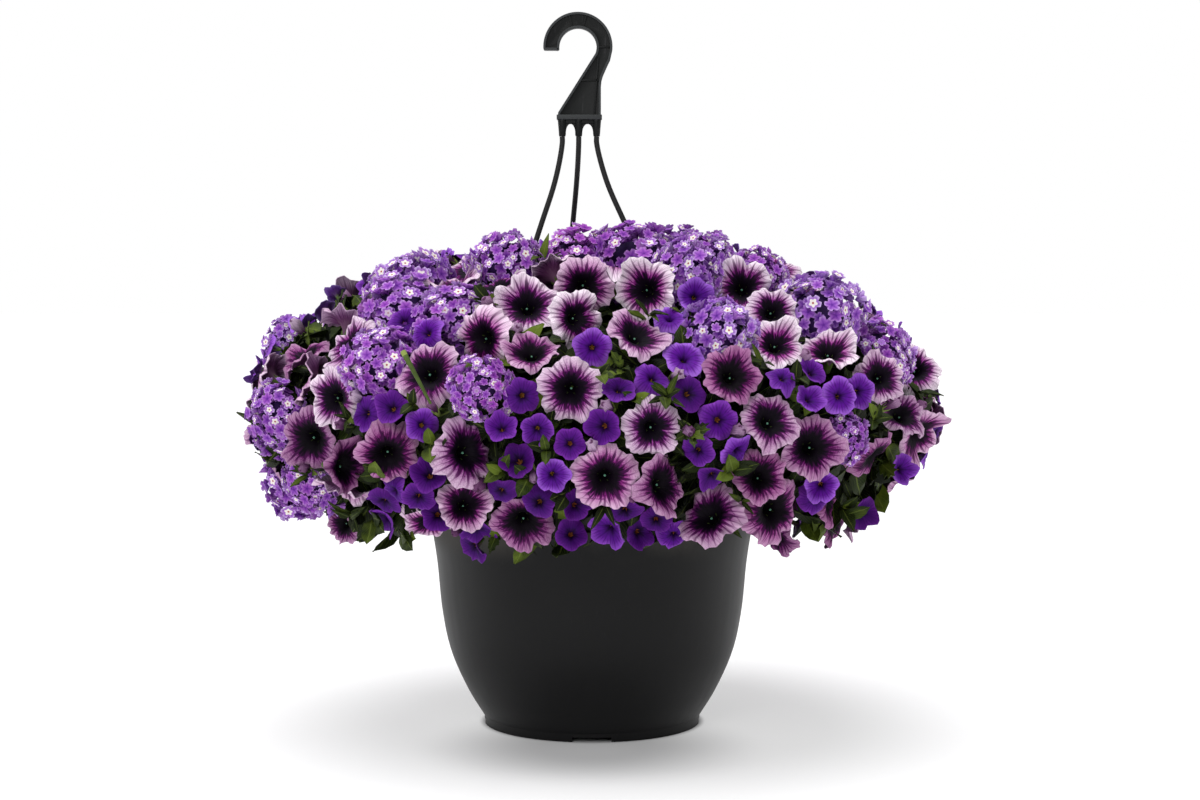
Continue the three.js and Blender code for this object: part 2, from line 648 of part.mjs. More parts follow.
function verbenaSolid(flower, path) {
  const turn = new THREE.Quaternion().setFromUnitVectors(point(0, 0, 1), facing(flower));
  const spin = new THREE.Quaternion().setFromAxisAngle(point(0, 0, 1), flower.turn);
  turn.multiply(spin);
  const centre = centreOf(flower);
  const skin = headCorners.map((corner) =>
    corner.clone().multiplyScalar(flower.radius).applyQuaternion(turn).add(centre),
  );
  const head = solid(new THREE.BufferGeometry().setFromPoints(skin));
  return head.add(stalk(path));
}

function stalk(path, radius = BRANCH_RADIUS) {
  const along = path[0].clone().sub(path[1]).normalize();
  const side = Math.abs(along.z) < 0.9 ? point(0, 0, 1) : point(0, 1, 0);
  return loft(stemRings(path, along, side, radius));
}

// Each kind's flowers are shared out among its sprays, each flower to the nearest spray's middle.
function sprayOut(flowers, kind) {
  const own = flowers.filter((flower) => flower.kind === kind);
  let middles = Array.from({ length: kind.sprays }, (_, k) => spread(kind.sprays, k));
  let groups = [];
  for (let round = 0; round < SPRAY_ROUNDS; round++) {
    groups = middles.map(() => []);
    for (const flower of own) {
      const distances = middles.map((middle) => middle.distanceTo(flower.at));
      groups[distances.indexOf(Math.min(...distances))].push(flower);
    }
    groups = groups.filter((group) => group.length);
    middles = groups.map((group) => {
      const sum = group.reduce((total, { at }) => total.add(at), point(0, 0, 0));
      return ontoMound(sum.divideScalar(group.length));
    });
  }
  return groups.map((members, k) => ({ members, middle: middles[k] }));
}

const sectorMiddle = (k) => SECTOR_START + ((k + 0.5) * 360) / SECTORS;

function coreOutline() {
  const outline = [[0, MOUND_MIDDLE + CORE_RISE]];
  for (const latitude of [62, 36, 12, -12, -36, -60]) {
    const up = Math.sin(latitude * DEGREE);
    const height = MOUND_MIDDLE + up * (up > 0 ? CORE_RISE : CORE_DROP);
    outline.push([CORE_RADIUS * Math.cos(latitude * DEGREE), height]);
  }
  outline.push([NECK_RADIUS, POT_HEIGHT], [NECK_RADIUS, SOIL_TOP + GAP], [0, SOIL_TOP + GAP]);
  return outline;
}

const wholeCore = lathe(coreOutline(), CORE_SIDES);

// The leafy sectors' cores: wedges that stand a little apart, with a way through for each strand.
function coreSectors() {
  const ways = STRAND_NAMES.map((_, k) => rod(k, STRAND_RADIUS + STRAND_ROOM, 6));
  const threaded = cutAway(wholeCore, ways);
  return Array.from({ length: SECTORS }, (_, k) => {
    const tip = polar(GAP / Math.sin(Math.PI / SECTORS), sectorMiddle(k), 0);
    const ends = [k, k + 1].map((edge) => {
      const degrees = SECTOR_START + (edge * 360) / SECTORS;
      return polar(2 * CORE_RADIUS, degrees, 0).add(tip);
    });
    const wedge = new THREE.Shape([tip, ...ends].map(({ x, y }) => new THREE.Vector2(x, y)));
    const prism = new THREE.ExtrudeGeometry(wedge, { depth: 2 * MOUND_MIDDLE, bevelEnabled: false });
    return threaded.intersect(solid(prism));
  });
}

const bothSides = new THREE.MeshBasicMaterial({ side: THREE.DoubleSide });
const coreMesh = new THREE.Mesh(geometryOf(wholeCore), bothSides);

// The place on the leafy core's own facets under a point of the mound, and which way that facet faces.
function onCore(at) {
  const inwards = moundNormal(at).negate();
  const hit = new THREE.Raycaster(at, inwards).intersectObject(coreMesh)[0];
  return { foot: hit.point, outwards: hit.face.normal };
}

function geometryOf(manifold) {
  const mesh = manifold.getMesh();
  return new THREE.BufferGeometry()
    .setAttribute("position", new THREE.BufferAttribute(mesh.vertProperties, 3))
    .setIndex(new THREE.BufferAttribute(mesh.triVerts, 1));
}

// Everything thin that a stalk has to pass: strands, trumpets and the stalks already grown.
const thinThings = [];

function note(owner, path, radius) {
  for (let k = 0; k + 1 < path.length; k++) {
    thinThings.push({ owner, line: new THREE.Line3(path[k], path[k + 1]), radius });
  }
}

// How far a place is outside the leafy core, roughly.
function outsideCore(at) {
  const height = at.z - MOUND_MIDDLE;
  const depth = height > 0 ? CORE_RISE : CORE_DROP;
  const scaled = Math.hypot(at.x / CORE_RADIUS, at.y / CORE_RADIUS, height / depth);
  return Math.hypot(at.x, at.y, height) * (1 - 1 / scaled);
}

// The least room round a path, which may come close to the core only at its end.
function clearance(owner, path) {
  const nearest = point(0, 0, 0);
  const end = path.at(-1);
  let least = Infinity;
  for (let k = 0; k + 1 < path.length; k++) {
    const steps = Math.ceil(path[k].distanceTo(path[k + 1]) / 2.5);
    for (let i = 0; i <= steps; i++) {
      const at = path[k].clone().lerp(path[k + 1], i / steps);
      if (at.distanceTo(end) > CORE_APPROACH) least = Math.min(least, outsideCore(at));
      for (const thing of thinThings) {
        if (thing.owner === owner) continue;
        thing.line.closestPointToPoint(at, true, nearest);
        least = Math.min(least, nearest.distanceTo(at) - thing.radius);
      }
    }
  }
  return least - BRANCH_RADIUS;
}

// A stalk runs straight to its spray's stem, or bends sideways or outwards round whatever is in its way.
function route(owner, from, to, normal) {
  const along = to.clone().sub(from);
  const aside = along.clone().cross(normal).normalize();
  let best = [from, to];
  let bestClearance = clearance(owner, best);
  for (let step = 1; step <= BEND_TRIES && bestClearance < STALK_ROOM; step++) {
    const share = BEND_SHARES[step % 3];
    const reach = BEND_STEP * Math.floor(step / 6) * (step % 2 ? 1 : -1);
    const lift = BEND_LIFTS[Math.floor(step / 3) % 4];
    const bend = from.clone().addScaledVector(along, share).addScaledVector(aside, reach)
      .addScaledVector(normal, lift);
    const path = [from, bend, to];
    const room = clearance(owner, path);
    if (room > bestClearance) [best, bestClearance] = [path, room];
  }
  return best;
}

function makeSprays(flowers) {
  const sprays = Object.entries(KINDS).flatMap(([name, kind]) =>
    sprayOut(flowers, kind).map((spray, k) => ({ ...spray, kind, name: name + "_spray_" + (k + 1) })),
  );
  strandPaths.forEach((path, k) => note(STRAND_NAMES[k], path, STRAND_RADIUS));
  for (const { name, members, kind } of sprays) {
    for (const flower of members) {
      const [centre, end] = [centreOf(flower), throatEnd(flower)];
      const waist = centre.clone().lerp(end, 0.7);
      if (kind === KINDS.verbena) note(name, [centre, end], 0.86 * flower.radius);
      else {
        note(name, [centre.lerp(end, 0.5), waist], 0.5 * flower.radius);
        note(name, [waist, end], 0.28 * flower.radius);
      }
    }
  }
  for (const spray of sprays) {
    const { name, members, kind } = spray;
    const { foot, outwards } = onCore(spray.middle);
    const seat = foot.addScaledVector(outwards, GAP);
    const tip = seat.clone().addScaledVector(outwards, HUB_STEP * (members.length + 1));
    const pieces = [stalk([tip, seat], HUB_RADIUS)];
    note(name, [tip, seat], HUB_RADIUS);
    members.sort((a, b) => b.at.distanceTo(seat) - a.at.distanceTo(seat));
    for (const [k, flower] of members.entries()) {
      const joint = seat.clone().addScaledVector(outwards, HUB_STEP * (k + 1));
      const path = route(name, throatEnd(flower), joint, outwards);
      note(name, path, BRANCH_RADIUS);
      if (kind === KINDS.verbena) pieces.push(verbenaSolid(flower, path));
      else {
        const rings = trumpetRings(flower);
        const leaving = facing(flower).add(moundNormal(flower.at));
        const stem = stemRings(path, leaving, rings.at(-1)[0].clone().sub(path[0]), BRANCH_RADIUS);
        pieces.push(loft([...rings, ...stem.slice(1)]));
      }
    }
    spray.solid = join(pieces);
  }
  return sprays;
}

function plantLeaves(flowers) {
  const leaves = [];
  const kind = { radius: LEAF_ROOM, inset: LEAF_INSET };
  for (let k = 0; k < LEAF_CANDIDATES; k++) {
    const leaf = plant(kind, spread(LEAF_CANDIDATES, k), false);
    const tip = { ...leaf, depth: leaf.depth - LEAF_REACH };
    const base = centreOf(leaf);
    const sector = ((Math.atan2(leaf.at.y, leaf.at.x) / DEGREE - SECTOR_START + 720) * SECTORS) / 360;
    const fromEdge = Math.abs(sector - Math.round(sector)) * (2 * Math.PI / SECTORS);
    const isInside = fromEdge * Math.hypot(base.x, base.y) > LEAF_EDGE_ROOM;
    const spacing = leaf.at.y < 0 ? FRONT_LEAF_SPACING : BACK_LEAF_SPACING;
    if (isInside && hasRoom(tip, [...flowers, ...leaves.map((other) => other.tip)], spacing)) {
      leaves.push({ ...leaf, tip, sector: Math.floor(sector) % SECTORS });
    }
  }
  return leaves;
}

// A leaf on its own stalk out of the core. Its blade is keeled: at each station across it has two thin
// edges, and a rib between them. It leans the way that leaves most room round it.
function leafSolid(leaf) {
  const normal = moundNormal(leaf.at);
  const base = centreOf(leaf);
  const root = onCore(leaf.at).foot.addScaledVector(normal, -4);
  const up = Math.abs(normal.z) < 0.9 ? point(0, 0, 1) : point(0, 1, 0);
  const length = LEAF_LENGTH * leaf.radius;
  const ways = ring(point(0, 0, 0), normal, up, 0.7, 6, leaf.turn).map((spoke) => {
    const along = spoke.clone().add(normal).normalize();
    const tip = base.clone().addScaledVector(along, length).addScaledVector(normal, -LEAF_DROOP * length);
    return { spoke, along, room: clearance("leaf", [tip, base]) };
  });
  const { spoke, along } = ways.reduce((best, next) => (next.room > best.room ? next : best));
  const face = normal.clone().sub(spoke).normalize();
  const raised = face.addScaledVector(along, -face.dot(along)).normalize();
  const side = raised.clone().cross(along);
  const at = (share, sideways, lift) =>
    base.clone().addScaledVector(along, share * length).addScaledVector(side, sideways)
      .addScaledVector(raised, lift - LEAF_DROOP * length * share * share);
  const isToothed = leaf.turn < TOOTHED_TURN;
  const stations = isToothed ? TOOTHED_BLADE : PLAIN_BLADE;
  const rings = stations.map(([share, wide]) => {
    const half = wide * LEAF_WIDTH * length;
    const rise = LEAF_CUP * half;
    return [at(share, half, rise), at(share, 0, LEAF_KEEL), at(share, -half, rise), at(share, 0, -LEAF_KEEL)];
  });
  return loft([[at(1, 0, 0)], ...rings, stemRings([base, root], along, side, BRANCH_RADIUS)[1]]);
}

// A leaf that would cross a flower or a strand isn't grown.
function makeFoliage(leaves, neighbours) {
  return coreSectors().map((core, k) => {
    const own = leaves.filter(({ sector }) => sector === k).map(leafSolid)
      .filter((leaf) => neighbours.every((other) => other.intersect(leaf).isEmpty()));
    return join([core, crown(k, CROWN_RADIUS, CROWN_TOP), ...own]);
  });
}

const charcoal = new THREE.MeshStandardMaterial({ color: 0x26272a, roughness: 0.55, metalness: 0 });
const soilBrown = new THREE.MeshStandardMaterial({ color: 0x2a1d14, roughness: 0.95, metalness: 0 });
const leafGreen = new THREE.MeshStandardMaterial({ color: 0x4f6f25, roughness: 0.6, metalness: 0 });
const petalColours = new Map(
  Object.values(KINDS).map((kind) => [
    kind,
    new THREE.MeshStandardMaterial({ color: kind.colour, roughness: 0.6, metalness: 0 }),
  ]),
);

const basket = new THREE.Group();
function place(name, manifold, material) {
  const mesh = new THREE.Mesh(geometryOf(manifold), material);
  mesh.name = name;
  basket.add(mesh);
}

place("pot", makePot(), charcoal);
place("potting_soil", makeSoil(), soilBrown);
place("hanger_hook", makeHook(), charcoal);
const strandSolids = STRAND_NAMES.map((_, k) => makeStrand(k));
STRAND_NAMES.forEach((name, k) => place("hanger_strand_" + name, strandSolids[k], charcoal));
const flowers = plantFlowers();
const sprays = makeSprays(flowers);
for (const { name, kind, solid: spray } of sprays) place(name, spray, petalColours.get(kind));
const neighbours = [...strandSolids, ...sprays.map((spray) => spray.solid)];
const foliage = makeFoliage(plantLeaves(flowers), neighbours);
foliage.forEach((green, k) => place("foliage_" + (k + 1), green, leafGreen));

export default basket;
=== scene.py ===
# %% [markdown]
# # A petunia hanging basket
#
# The basket is a charcoal plastic pot on a three-strand hanger, with a mound of petunias, calibrachoas and
# verbena that hides the pot's rim. The imported model already holds every solid at its real size. This
# script gives each solid its finish, and puts finer flowers and leaves in the place of the plain ones. It
# first loads the model.

# %% Load the imported model
import json
import math

import bmesh
import bpy
import numpy as np
from mathutils import Euler, Matrix, Vector, kdtree

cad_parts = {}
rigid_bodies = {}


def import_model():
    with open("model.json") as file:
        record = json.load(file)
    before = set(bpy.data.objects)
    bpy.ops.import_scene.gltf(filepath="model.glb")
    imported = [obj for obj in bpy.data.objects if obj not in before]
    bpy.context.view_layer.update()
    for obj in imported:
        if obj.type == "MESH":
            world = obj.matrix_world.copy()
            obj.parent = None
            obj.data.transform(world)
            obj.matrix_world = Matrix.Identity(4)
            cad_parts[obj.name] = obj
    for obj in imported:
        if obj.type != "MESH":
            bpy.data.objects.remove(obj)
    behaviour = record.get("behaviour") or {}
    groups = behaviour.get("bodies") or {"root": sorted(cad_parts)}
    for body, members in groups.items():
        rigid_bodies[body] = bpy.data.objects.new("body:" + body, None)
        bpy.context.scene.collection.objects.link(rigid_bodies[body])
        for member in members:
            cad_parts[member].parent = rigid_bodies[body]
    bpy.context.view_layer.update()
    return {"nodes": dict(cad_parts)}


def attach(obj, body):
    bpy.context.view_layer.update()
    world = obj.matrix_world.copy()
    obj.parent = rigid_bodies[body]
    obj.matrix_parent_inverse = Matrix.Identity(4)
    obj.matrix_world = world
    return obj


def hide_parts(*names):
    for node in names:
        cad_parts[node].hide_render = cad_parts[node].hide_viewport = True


for leftover in list(bpy.data.objects):
    bpy.data.objects.remove(leftover)
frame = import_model()

# %% [markdown]
# ## The camera
#
# The photograph is taken from two metres away, a little above the middle of the mound, with a long lens.
# Its horizon lies above the picture's middle, so the camera looks slightly down. The pot's width gives the
# scale, and the same numbers later tell which place on the mound shows at which pixel.

# %% Point the camera
PHOTO_WIDTH, PHOTO_HEIGHT, SENSOR_WIDTH = 1200, 800, 36
FOCAL_PIXELS = 2093
HORIZON_ROW, AXIS_COLUMN = 294, 592
MM_PER_PIXEL = 0.953
VIEW_DISTANCE, EYE_HEIGHT = 2000, 410


def show(name, data):
    """A new object in the scene, from a mesh, a lamp or a camera."""
    shown = bpy.data.objects.new(name, data)
    bpy.context.scene.collection.objects.link(shown)
    return shown


camera_data = bpy.data.cameras.new("photo_camera")
camera_data.sensor_width = SENSOR_WIDTH
camera_data.lens = SENSOR_WIDTH * FOCAL_PIXELS / PHOTO_WIDTH
camera = show("photo_camera", camera_data)
sideways = (PHOTO_WIDTH / 2 - AXIS_COLUMN) * MM_PER_PIXEL / 1000
look_down = math.atan((PHOTO_HEIGHT / 2 - HORIZON_ROW) / FOCAL_PIXELS)
camera.location = (sideways, -VIEW_DISTANCE / 1000, EYE_HEIGHT / 1000)
camera.rotation_euler = (math.pi / 2 - look_down, 0, 0)
bpy.context.scene.camera = camera
print("lens", round(camera_data.lens, 1), "mm, looking down", round(math.degrees(look_down), 2), "degrees")

# %% [markdown]
# ## Helpers for finishes
#
# Every finish is a small net of nodes. A few helpers place a node, do one step of arithmetic or mix two
# colours, so that each material reads like a recipe. A colour is written as the code that a paint program
# shows, and is turned into the linear light that a shader works in.

# %% Place nodes and join them
WHITE = (1, 1, 1, 1)


def srgb(code):
    """The linear colour of a #rrggbb code."""
    parts = [int(code[k : k + 2], 16) / 255 for k in (1, 3, 5)]
    return (*(p / 12.92 if p < 0.04045 else ((p + 0.055) / 1.055) ** 2.4 for p in parts), 1)


def connect(tree, socket, value):
    """Links another node's output to a socket, or sets the socket to a number, vector or colour code."""
    if isinstance(value, bpy.types.NodeSocket):
        tree.links.new(value, socket)
    else:
        socket.default_value = srgb(value) if isinstance(value, str) else value


def add(tree, kind, inputs=(), **settings):
    """A new node with its settings and inputs."""
    node = tree.nodes.new("ShaderNode" + kind)
    for name, value in settings.items():
        setattr(node, name, value)
    for name, value in dict(inputs).items():
        connect(tree, node.inputs[name], value)
    return node


def new_material(name):
    """A material and its node tree."""
    material = bpy.data.materials.new(name)
    material.use_nodes = True
    return material, material.node_tree


def set_shader(tree, inputs):
    """Sets or links inputs of a material's shader."""
    for name, value in inputs.items():
        connect(tree, tree.nodes["Principled BSDF"].inputs[name], value)


print("a middle grey in linear light:", [round(part, 3) for part in srgb("#808080")])


# %% Arithmetic and colours as nodes
def maths(tree, operation, *values):
    """One step of arithmetic. It gives the socket that holds the result."""
    return add(tree, "Math", enumerate(values), operation=operation).outputs[0]


def times(tree, first, second):
    """The first times the second."""
    return maths(tree, "MULTIPLY", first, second)


def times_add(tree, first, second, third):
    """The first times the second, plus the third."""
    return maths(tree, "MULTIPLY_ADD", first, second, third)


def off_middle(tree, value):
    """How far a number lies from a half."""
    return maths(tree, "SUBTRACT", value, 0.5)


def vector_maths(tree, operation, *values):
    """One step of arithmetic on places."""
    outputs = add(tree, "VectorMath", enumerate(values), operation=operation).outputs
    return outputs["Value"] if operation in ("LENGTH", "DISTANCE") else outputs[0]


def parts(tree, place):
    """The X, Y and Z of a place."""
    return add(tree, "SeparateXYZ", {0: place}).outputs


def between(tree, value, low, high, to_low=0.0, to_high=1.0):
    """A smooth change from one number to another as value goes from low to high."""
    inputs = {"Value": value, "From Min": low, "From Max": high, "To Min": to_low, "To Max": to_high}
    return add(tree, "MapRange", inputs, interpolation_type="SMOOTHSTEP").outputs[0]


def noise(tree, place, scale, detail):
    """Clouds of uneven grey, finer for a greater scale."""
    return add(tree, "TexNoise", {"Vector": place, "Scale": scale, "Detail": detail}).outputs["Fac"]


MIX_SHARE, MIX_FIRST, MIX_SECOND, MIX_RESULT = 0, 6, 7, 2


def blend(tree, share, first, second, mode="MIX"):
    """Two colours mixed by a share."""
    inputs = {MIX_SHARE: share, MIX_FIRST: first, MIX_SECOND: second}
    return add(tree, "Mix", inputs, data_type="RGBA", blend_type=mode).outputs[MIX_RESULT]


def ramp(tree, value, stops):
    """A colour ramp from (place, colour code) pairs."""
    node = add(tree, "ValToRGB", {"Fac": value})
    elements = node.color_ramp.elements
    while len(elements) < len(stops):
        elements.new(0.5)
    for element, (place, code) in zip(elements, stops):
        element.position = place
        element.color = srgb(code)
    return node.outputs["Color"]


def bump(tree, height, strength, distance):
    """A surface that looks raised where the height is great."""
    return add(tree, "Bump", {"Height": height, "Strength": strength, "Distance": distance}).outputs[0]


print("a blend's inputs:", (MIX_SHARE, MIX_FIRST, MIX_SECOND), "and its output:", MIX_RESULT)

# %% [markdown]
# ## Floor and light
#
# The basket stands on a white sweep, with a soft shadow that fades out all round. A large pale plane does
# the same, if a broad sun lights it as brightly as the sky is. The plane also glows a little, except close
# to the pot, so that the shadow stays and the floor far away melts into the white. Three large soft lamps
# put the faint sheen on the pot's front and sides.

# %% Lay the floor
FLOOR_REACH = 40
FLOOR_GREY = (0.56, 0.56, 0.565, 1)
SHADOW_MIDDLE = (0, -0.12, 0)
POT_FOOT = 0.1


def as_mesh(bm, name):
    """Turns a bmesh into a mesh and frees it."""
    mesh = bpy.data.meshes.new(name)
    bm.to_mesh(mesh)
    bm.free()
    return mesh


floor_bm = bmesh.new()
bmesh.ops.create_grid(floor_bm, x_segments=1, y_segments=1, size=FLOOR_REACH)
floor = show("pale_floor", as_mesh(floor_bm, "pale_floor"))
floor_paint, tree = new_material("pale_floor")
spot = add(tree, "TexCoord").outputs["Object"]
from_pot = vector_maths(tree, "LENGTH", spot)
from_shadow = vector_maths(tree, "DISTANCE", spot, SHADOW_MIDDLE)
glow = between(tree, from_shadow, 0.04, 0.17, 0.16, 0.52)
glow = times(tree, glow, between(tree, from_pot, POT_FOOT, POT_FOOT + 0.01))
set_shader(tree, {
    "Base Color": FLOOR_GREY, "Roughness": 0.9, "Specular IOR Level": 0, "Emission Color": WHITE,
    "Emission Strength": glow,
})
floor.data.materials.append(floor_paint)
print("floor:", round(floor.dimensions.x), "m wide")

# %% Light the studio
SKY_SEEN, SKY_LIGHT, SUN_STRENGTH = 1.0, 0.32, 2.5
BASKET_MIDDLE = Vector((0, 0, 0.3))
bpy.context.scene.view_settings.view_transform = "Standard"
world = bpy.data.worlds.new("studio")
bpy.context.scene.world = world
world.use_nodes = True
tree = world.node_tree
sky = tree.nodes["Background"].inputs
seen = times(tree, add(tree, "LightPath").outputs["Is Camera Ray"], SKY_SEEN - SKY_LIGHT)
connect(tree, sky["Strength"], maths(tree, "ADD", seen, SKY_LIGHT))
connect(tree, sky["Color"], WHITE)


def add_light(name, kind, energy, place, **settings):
    """A lamp that shines from its place towards the middle of the basket."""
    lamp = bpy.data.lights.new(name, kind)
    lamp.energy = energy
    for key, value in settings.items():
        setattr(lamp, key, value)
    holder = show(name, lamp)
    holder.location = place
    holder.rotation_euler = (BASKET_MIDDLE - Vector(place)).to_track_quat("-Z", "Y").to_euler()


add_light("broad_sun", "SUN", SUN_STRENGTH, (-0.25, 0.1, 3.6), angle=math.radians(50))
add_light("front_box", "AREA", 27, (-0.7, -2.6, 1.5), size=1.4)
add_light("left_box", "AREA", 8, (-2.2, 0.3, 0.6), size=1.2)
add_light("right_box", "AREA", 6, (2.2, 0.3, 0.6), size=1.2)

# %% [markdown]
# ## The shape of the mound and the strands
#
# The plants fill out a flattened ball whose underside is cut off where they hang over the pot. The solids
# were planted by one rule, so this script repeats the rule and knows every flower's place, size and
# facing. It counts in millimetres and in double precision, which keeps each step the same as in the
# solids. The three strands run through the mound, and flowers and leaves keep clear of them.

# %% The mound
GOLDEN_ANGLE = math.pi * (3 - math.sqrt(5))
MOUND_RADIUS, MOUND_MIDDLE, MOUND_RISE, MOUND_DROP = 334, 300, 170, 163
HEM = math.sin(math.radians(-50))


def unit(v):
    return v / np.linalg.norm(v)


def polar(radius, degrees, z):
    turn = math.radians(degrees)
    return np.array([radius * math.cos(turn), radius * math.sin(turn), z])


def reach_of(height):
    """How far the mound reaches from its middle, up or down."""
    return MOUND_RISE if height > 0 else MOUND_DROP


def onto_mound(at):
    """The point of the flattened ball that lies the same way from its middle as a given place does."""
    height = at[2] - MOUND_MIDDLE
    way = unit(np.array([at[0] / MOUND_RADIUS, at[1] / MOUND_RADIUS, height / reach_of(height)]))
    way[2] = max(way[2], HEM)
    level = math.hypot(way[0], way[1])
    way[:2] *= math.sqrt(1 - way[2] ** 2) / level if level else 0
    top = MOUND_MIDDLE + way[2] * reach_of(way[2])
    return np.array([way[0] * MOUND_RADIUS, way[1] * MOUND_RADIUS, top])


def mound_normal(at):
    height = at[2] - MOUND_MIDDLE
    return unit(np.array([at[0] / MOUND_RADIUS**2, at[1] / MOUND_RADIUS**2, height / reach_of(height) ** 2]))


print("the mound reaches from", round(MOUND_MIDDLE + HEM * MOUND_DROP), "to", MOUND_MIDDLE + MOUND_RISE, "mm")

# %% The paths of the strands
STRAND_RADIUS, STRAND_ANGLES = 2.35, [222, 102, 342]
SOCKET_X, SOCKET_END, SOCKET_RUN = [-28.2, -12.6, 4.4], 559.3, 6
LIP_MIDDLE, CLIP_TOP = 148, 219
STRAND_STEPS, STRAND_BEND, STRAND_POINTS = 9, 0.1, 60


def smooth_curve(points, count):
    """Points along a centripetal curve through the given ones, straight on at both ends."""
    points = [2 * points[0] - points[1], *points, 2 * points[-1] - points[-2]]
    curve = []
    for k in range(count + 1):
        along = (len(points) - 3) * k / count
        start = min(int(along), len(points) - 4)
        t = along - start
        before, here, there, after = points[start : start + 4]
        a, b, c = (((q - p) @ (q - p)) ** 0.25 for p, q in ((before, here), (here, there), (there, after)))
        leaving = ((here - before) / a - (there - before) / (a + b) + (there - here) / b) * b
        arriving = ((there - here) / b - (after - here) / (b + c) + (after - there) / c) * b
        square = -3 * here + 3 * there - 2 * leaving - arriving
        cube = 2 * here - 2 * there + leaving + arriving
        curve.append(here + leaving * t + square * t**2 + cube * t**3)
    return curve


def strand_path(k):
    """A strand leaves its socket straight down, then curves out to the pot's lip."""
    top = np.array([SOCKET_X[k], 0, SOCKET_END])
    bend = top - [0, 0, SOCKET_RUN]
    foot = polar(LIP_MIDDLE, STRAND_ANGLES[k], CLIP_TOP - STRAND_RADIUS / 2)
    path = [top]
    for i in range(STRAND_STEPS + 1):
        down = i / STRAND_STEPS
        at = bend + (foot - bend) * (down * down * (1 + STRAND_BEND) / (down + STRAND_BEND))
        at[2] = bend[2] + (foot[2] - bend[2]) * down
        path.append(at)
    return smooth_curve(path, STRAND_POINTS)


strands = [strand_path(k) for k in range(3)]
strand_points = np.array(sum(strands, []))
print("strand ends:", [s[-1].round(1).tolist() for s in strands])

# %% [markdown]
# ## Where each flower grows
#
# The front flowers are planted where they show in the photograph, each at its pixel. The sides and the
# back are not in the picture, so the others follow a golden-angle spiral, which spreads places evenly
# without a pattern that the eye can see. All of them are then pushed apart until each has room.

# %% The three kinds and where the front ones show
KINDS = {
    "verbena": {"radius": (25, 33), "inset": (12, 24), "share": 0.16, "cup": 0},
    "petunia": {"radius": (24, 28), "inset": (6, 18), "share": 0.46, "cup": 0.8},
    "calibrachoa": {"radius": (14, 16.5), "inset": (4, 14), "share": 0.38, "cup": 0.4},
}
FRONT_PLAN = {
    "verbena": [
        (480, 265), (384, 285), (430, 318), (380, 341), (393, 376), (484, 372), (282, 435), (282, 467),
        (560, 266), (619, 255), (693, 250), (689, 290), (697, 339), (766, 265), (828, 313), (899, 339),
        (849, 443),
    ],
    "petunia": [
        (467, 249), (441, 282), (477, 319), (535, 321), (571, 318), (525, 360), (567, 355), (613, 342),
        (626, 309), (488, 350), (573, 392), (456, 396), (469, 426), (441, 466), (319, 425), (343, 448),
        (354, 370), (313, 375), (348, 396), (293, 348), (389, 439), (402, 515), (520, 519), (605, 454),
        (635, 457), (664, 461), (706, 470), (756, 481), (801, 476), (786, 530), (859, 493), (887, 468),
        (909, 429), (930, 445), (891, 392), (930, 361), (846, 356), (775, 319), (747, 357), (732, 395),
        (771, 413), (789, 431), (730, 278), (278, 487), (319, 484), (651, 235), (553, 290), (584, 290),
        (272, 375), (335, 322), (808, 278), (854, 293),
    ],
    "calibrachoa": [
        (413, 346), (454, 341), (371, 415), (419, 411), (439, 417), (415, 439), (367, 454), (402, 463),
        (363, 484), (371, 513), (445, 515), (471, 517), (465, 541), (491, 461), (517, 457), (513, 416),
        (534, 408), (537, 435), (560, 420), (591, 394), (595, 426), (563, 463), (539, 470), (579, 485),
        (546, 505), (621, 404), (652, 404), (680, 415), (691, 391), (706, 422), (674, 439), (682, 457),
        (660, 482), (640, 486), (629, 509), (656, 529), (691, 512), (675, 314), (659, 345), (727, 435),
        (790, 380), (831, 391), (813, 405), (861, 395), (786, 361), (826, 468), (833, 501), (917, 466),
        (868, 521),
    ],
}
print("planned at the front:", {kind: len(pixels) for kind, pixels in FRONT_PLAN.items()})

# %% One flower
TO_FRONT, TO_LEVEL, SWAY, RAISED = 0.42, 0.3, 0.16, 0.1
drawn = 20


def draw(low, high):
    """The next number of the planting's own chance."""
    global drawn
    drawn = (drawn * 1664525 + 1013904223) & 0xFFFFFFFF
    return low + (high - low) * drawn / 2**32


class Flower:
    """One bloom: its kind, its place on the mound, and how it stands there."""

    def __init__(self, kind, at, pixel=None):
        self.kind, self.at, self.pixel, self.is_front = kind, at, pixel, pixel is not None
        self.radius = draw(*KINDS[kind]["radius"])
        self.depth = draw(*KINDS[kind]["inset"])
        self.sway = np.array([draw(-1, 1), draw(-1, 1), draw(-1, 1)])
        self.turn = draw(0, math.tau)

    @property
    def centre(self):
        return self.at - mound_normal(self.at) * self.depth

    @property
    def face(self):
        """A flower faces out and a little level. The front ones turn to the front."""
        normal = mound_normal(self.at)
        level = unit(np.array([normal[0], normal[1], RAISED]))
        towards = np.array([0, -1, RAISED]) if self.is_front else level
        share = TO_FRONT if self.is_front else TO_LEVEL
        return unit(normal * (1 - share) + towards * share + self.sway * SWAY)


print("chance starts from", drawn)


# %% Places on the mound
def seen_at(column, row):
    """The place on the mound's front that shows at a pixel of the photograph."""
    eye = np.array([0, -VIEW_DISTANCE, EYE_HEIGHT])
    across, up = (column - AXIS_COLUMN) * MM_PER_PIXEL, (HORIZON_ROW - row) * MM_PER_PIXEL
    sight = np.array([across, VIEW_DISTANCE, up])
    squash = 1 / np.array([MOUND_RADIUS, MOUND_RADIUS, reach_of(EYE_HEIGHT + up - MOUND_MIDDLE)])
    start, way = (eye - [0, 0, MOUND_MIDDLE]) * squash, sight * squash
    half = -(start @ way) / (way @ way)
    miss = (start + way * half) @ (start + way * half)
    back = math.sqrt((1 - miss) / (way @ way)) if miss < 1 else 0
    return onto_mound(eye + sight * (half - back))


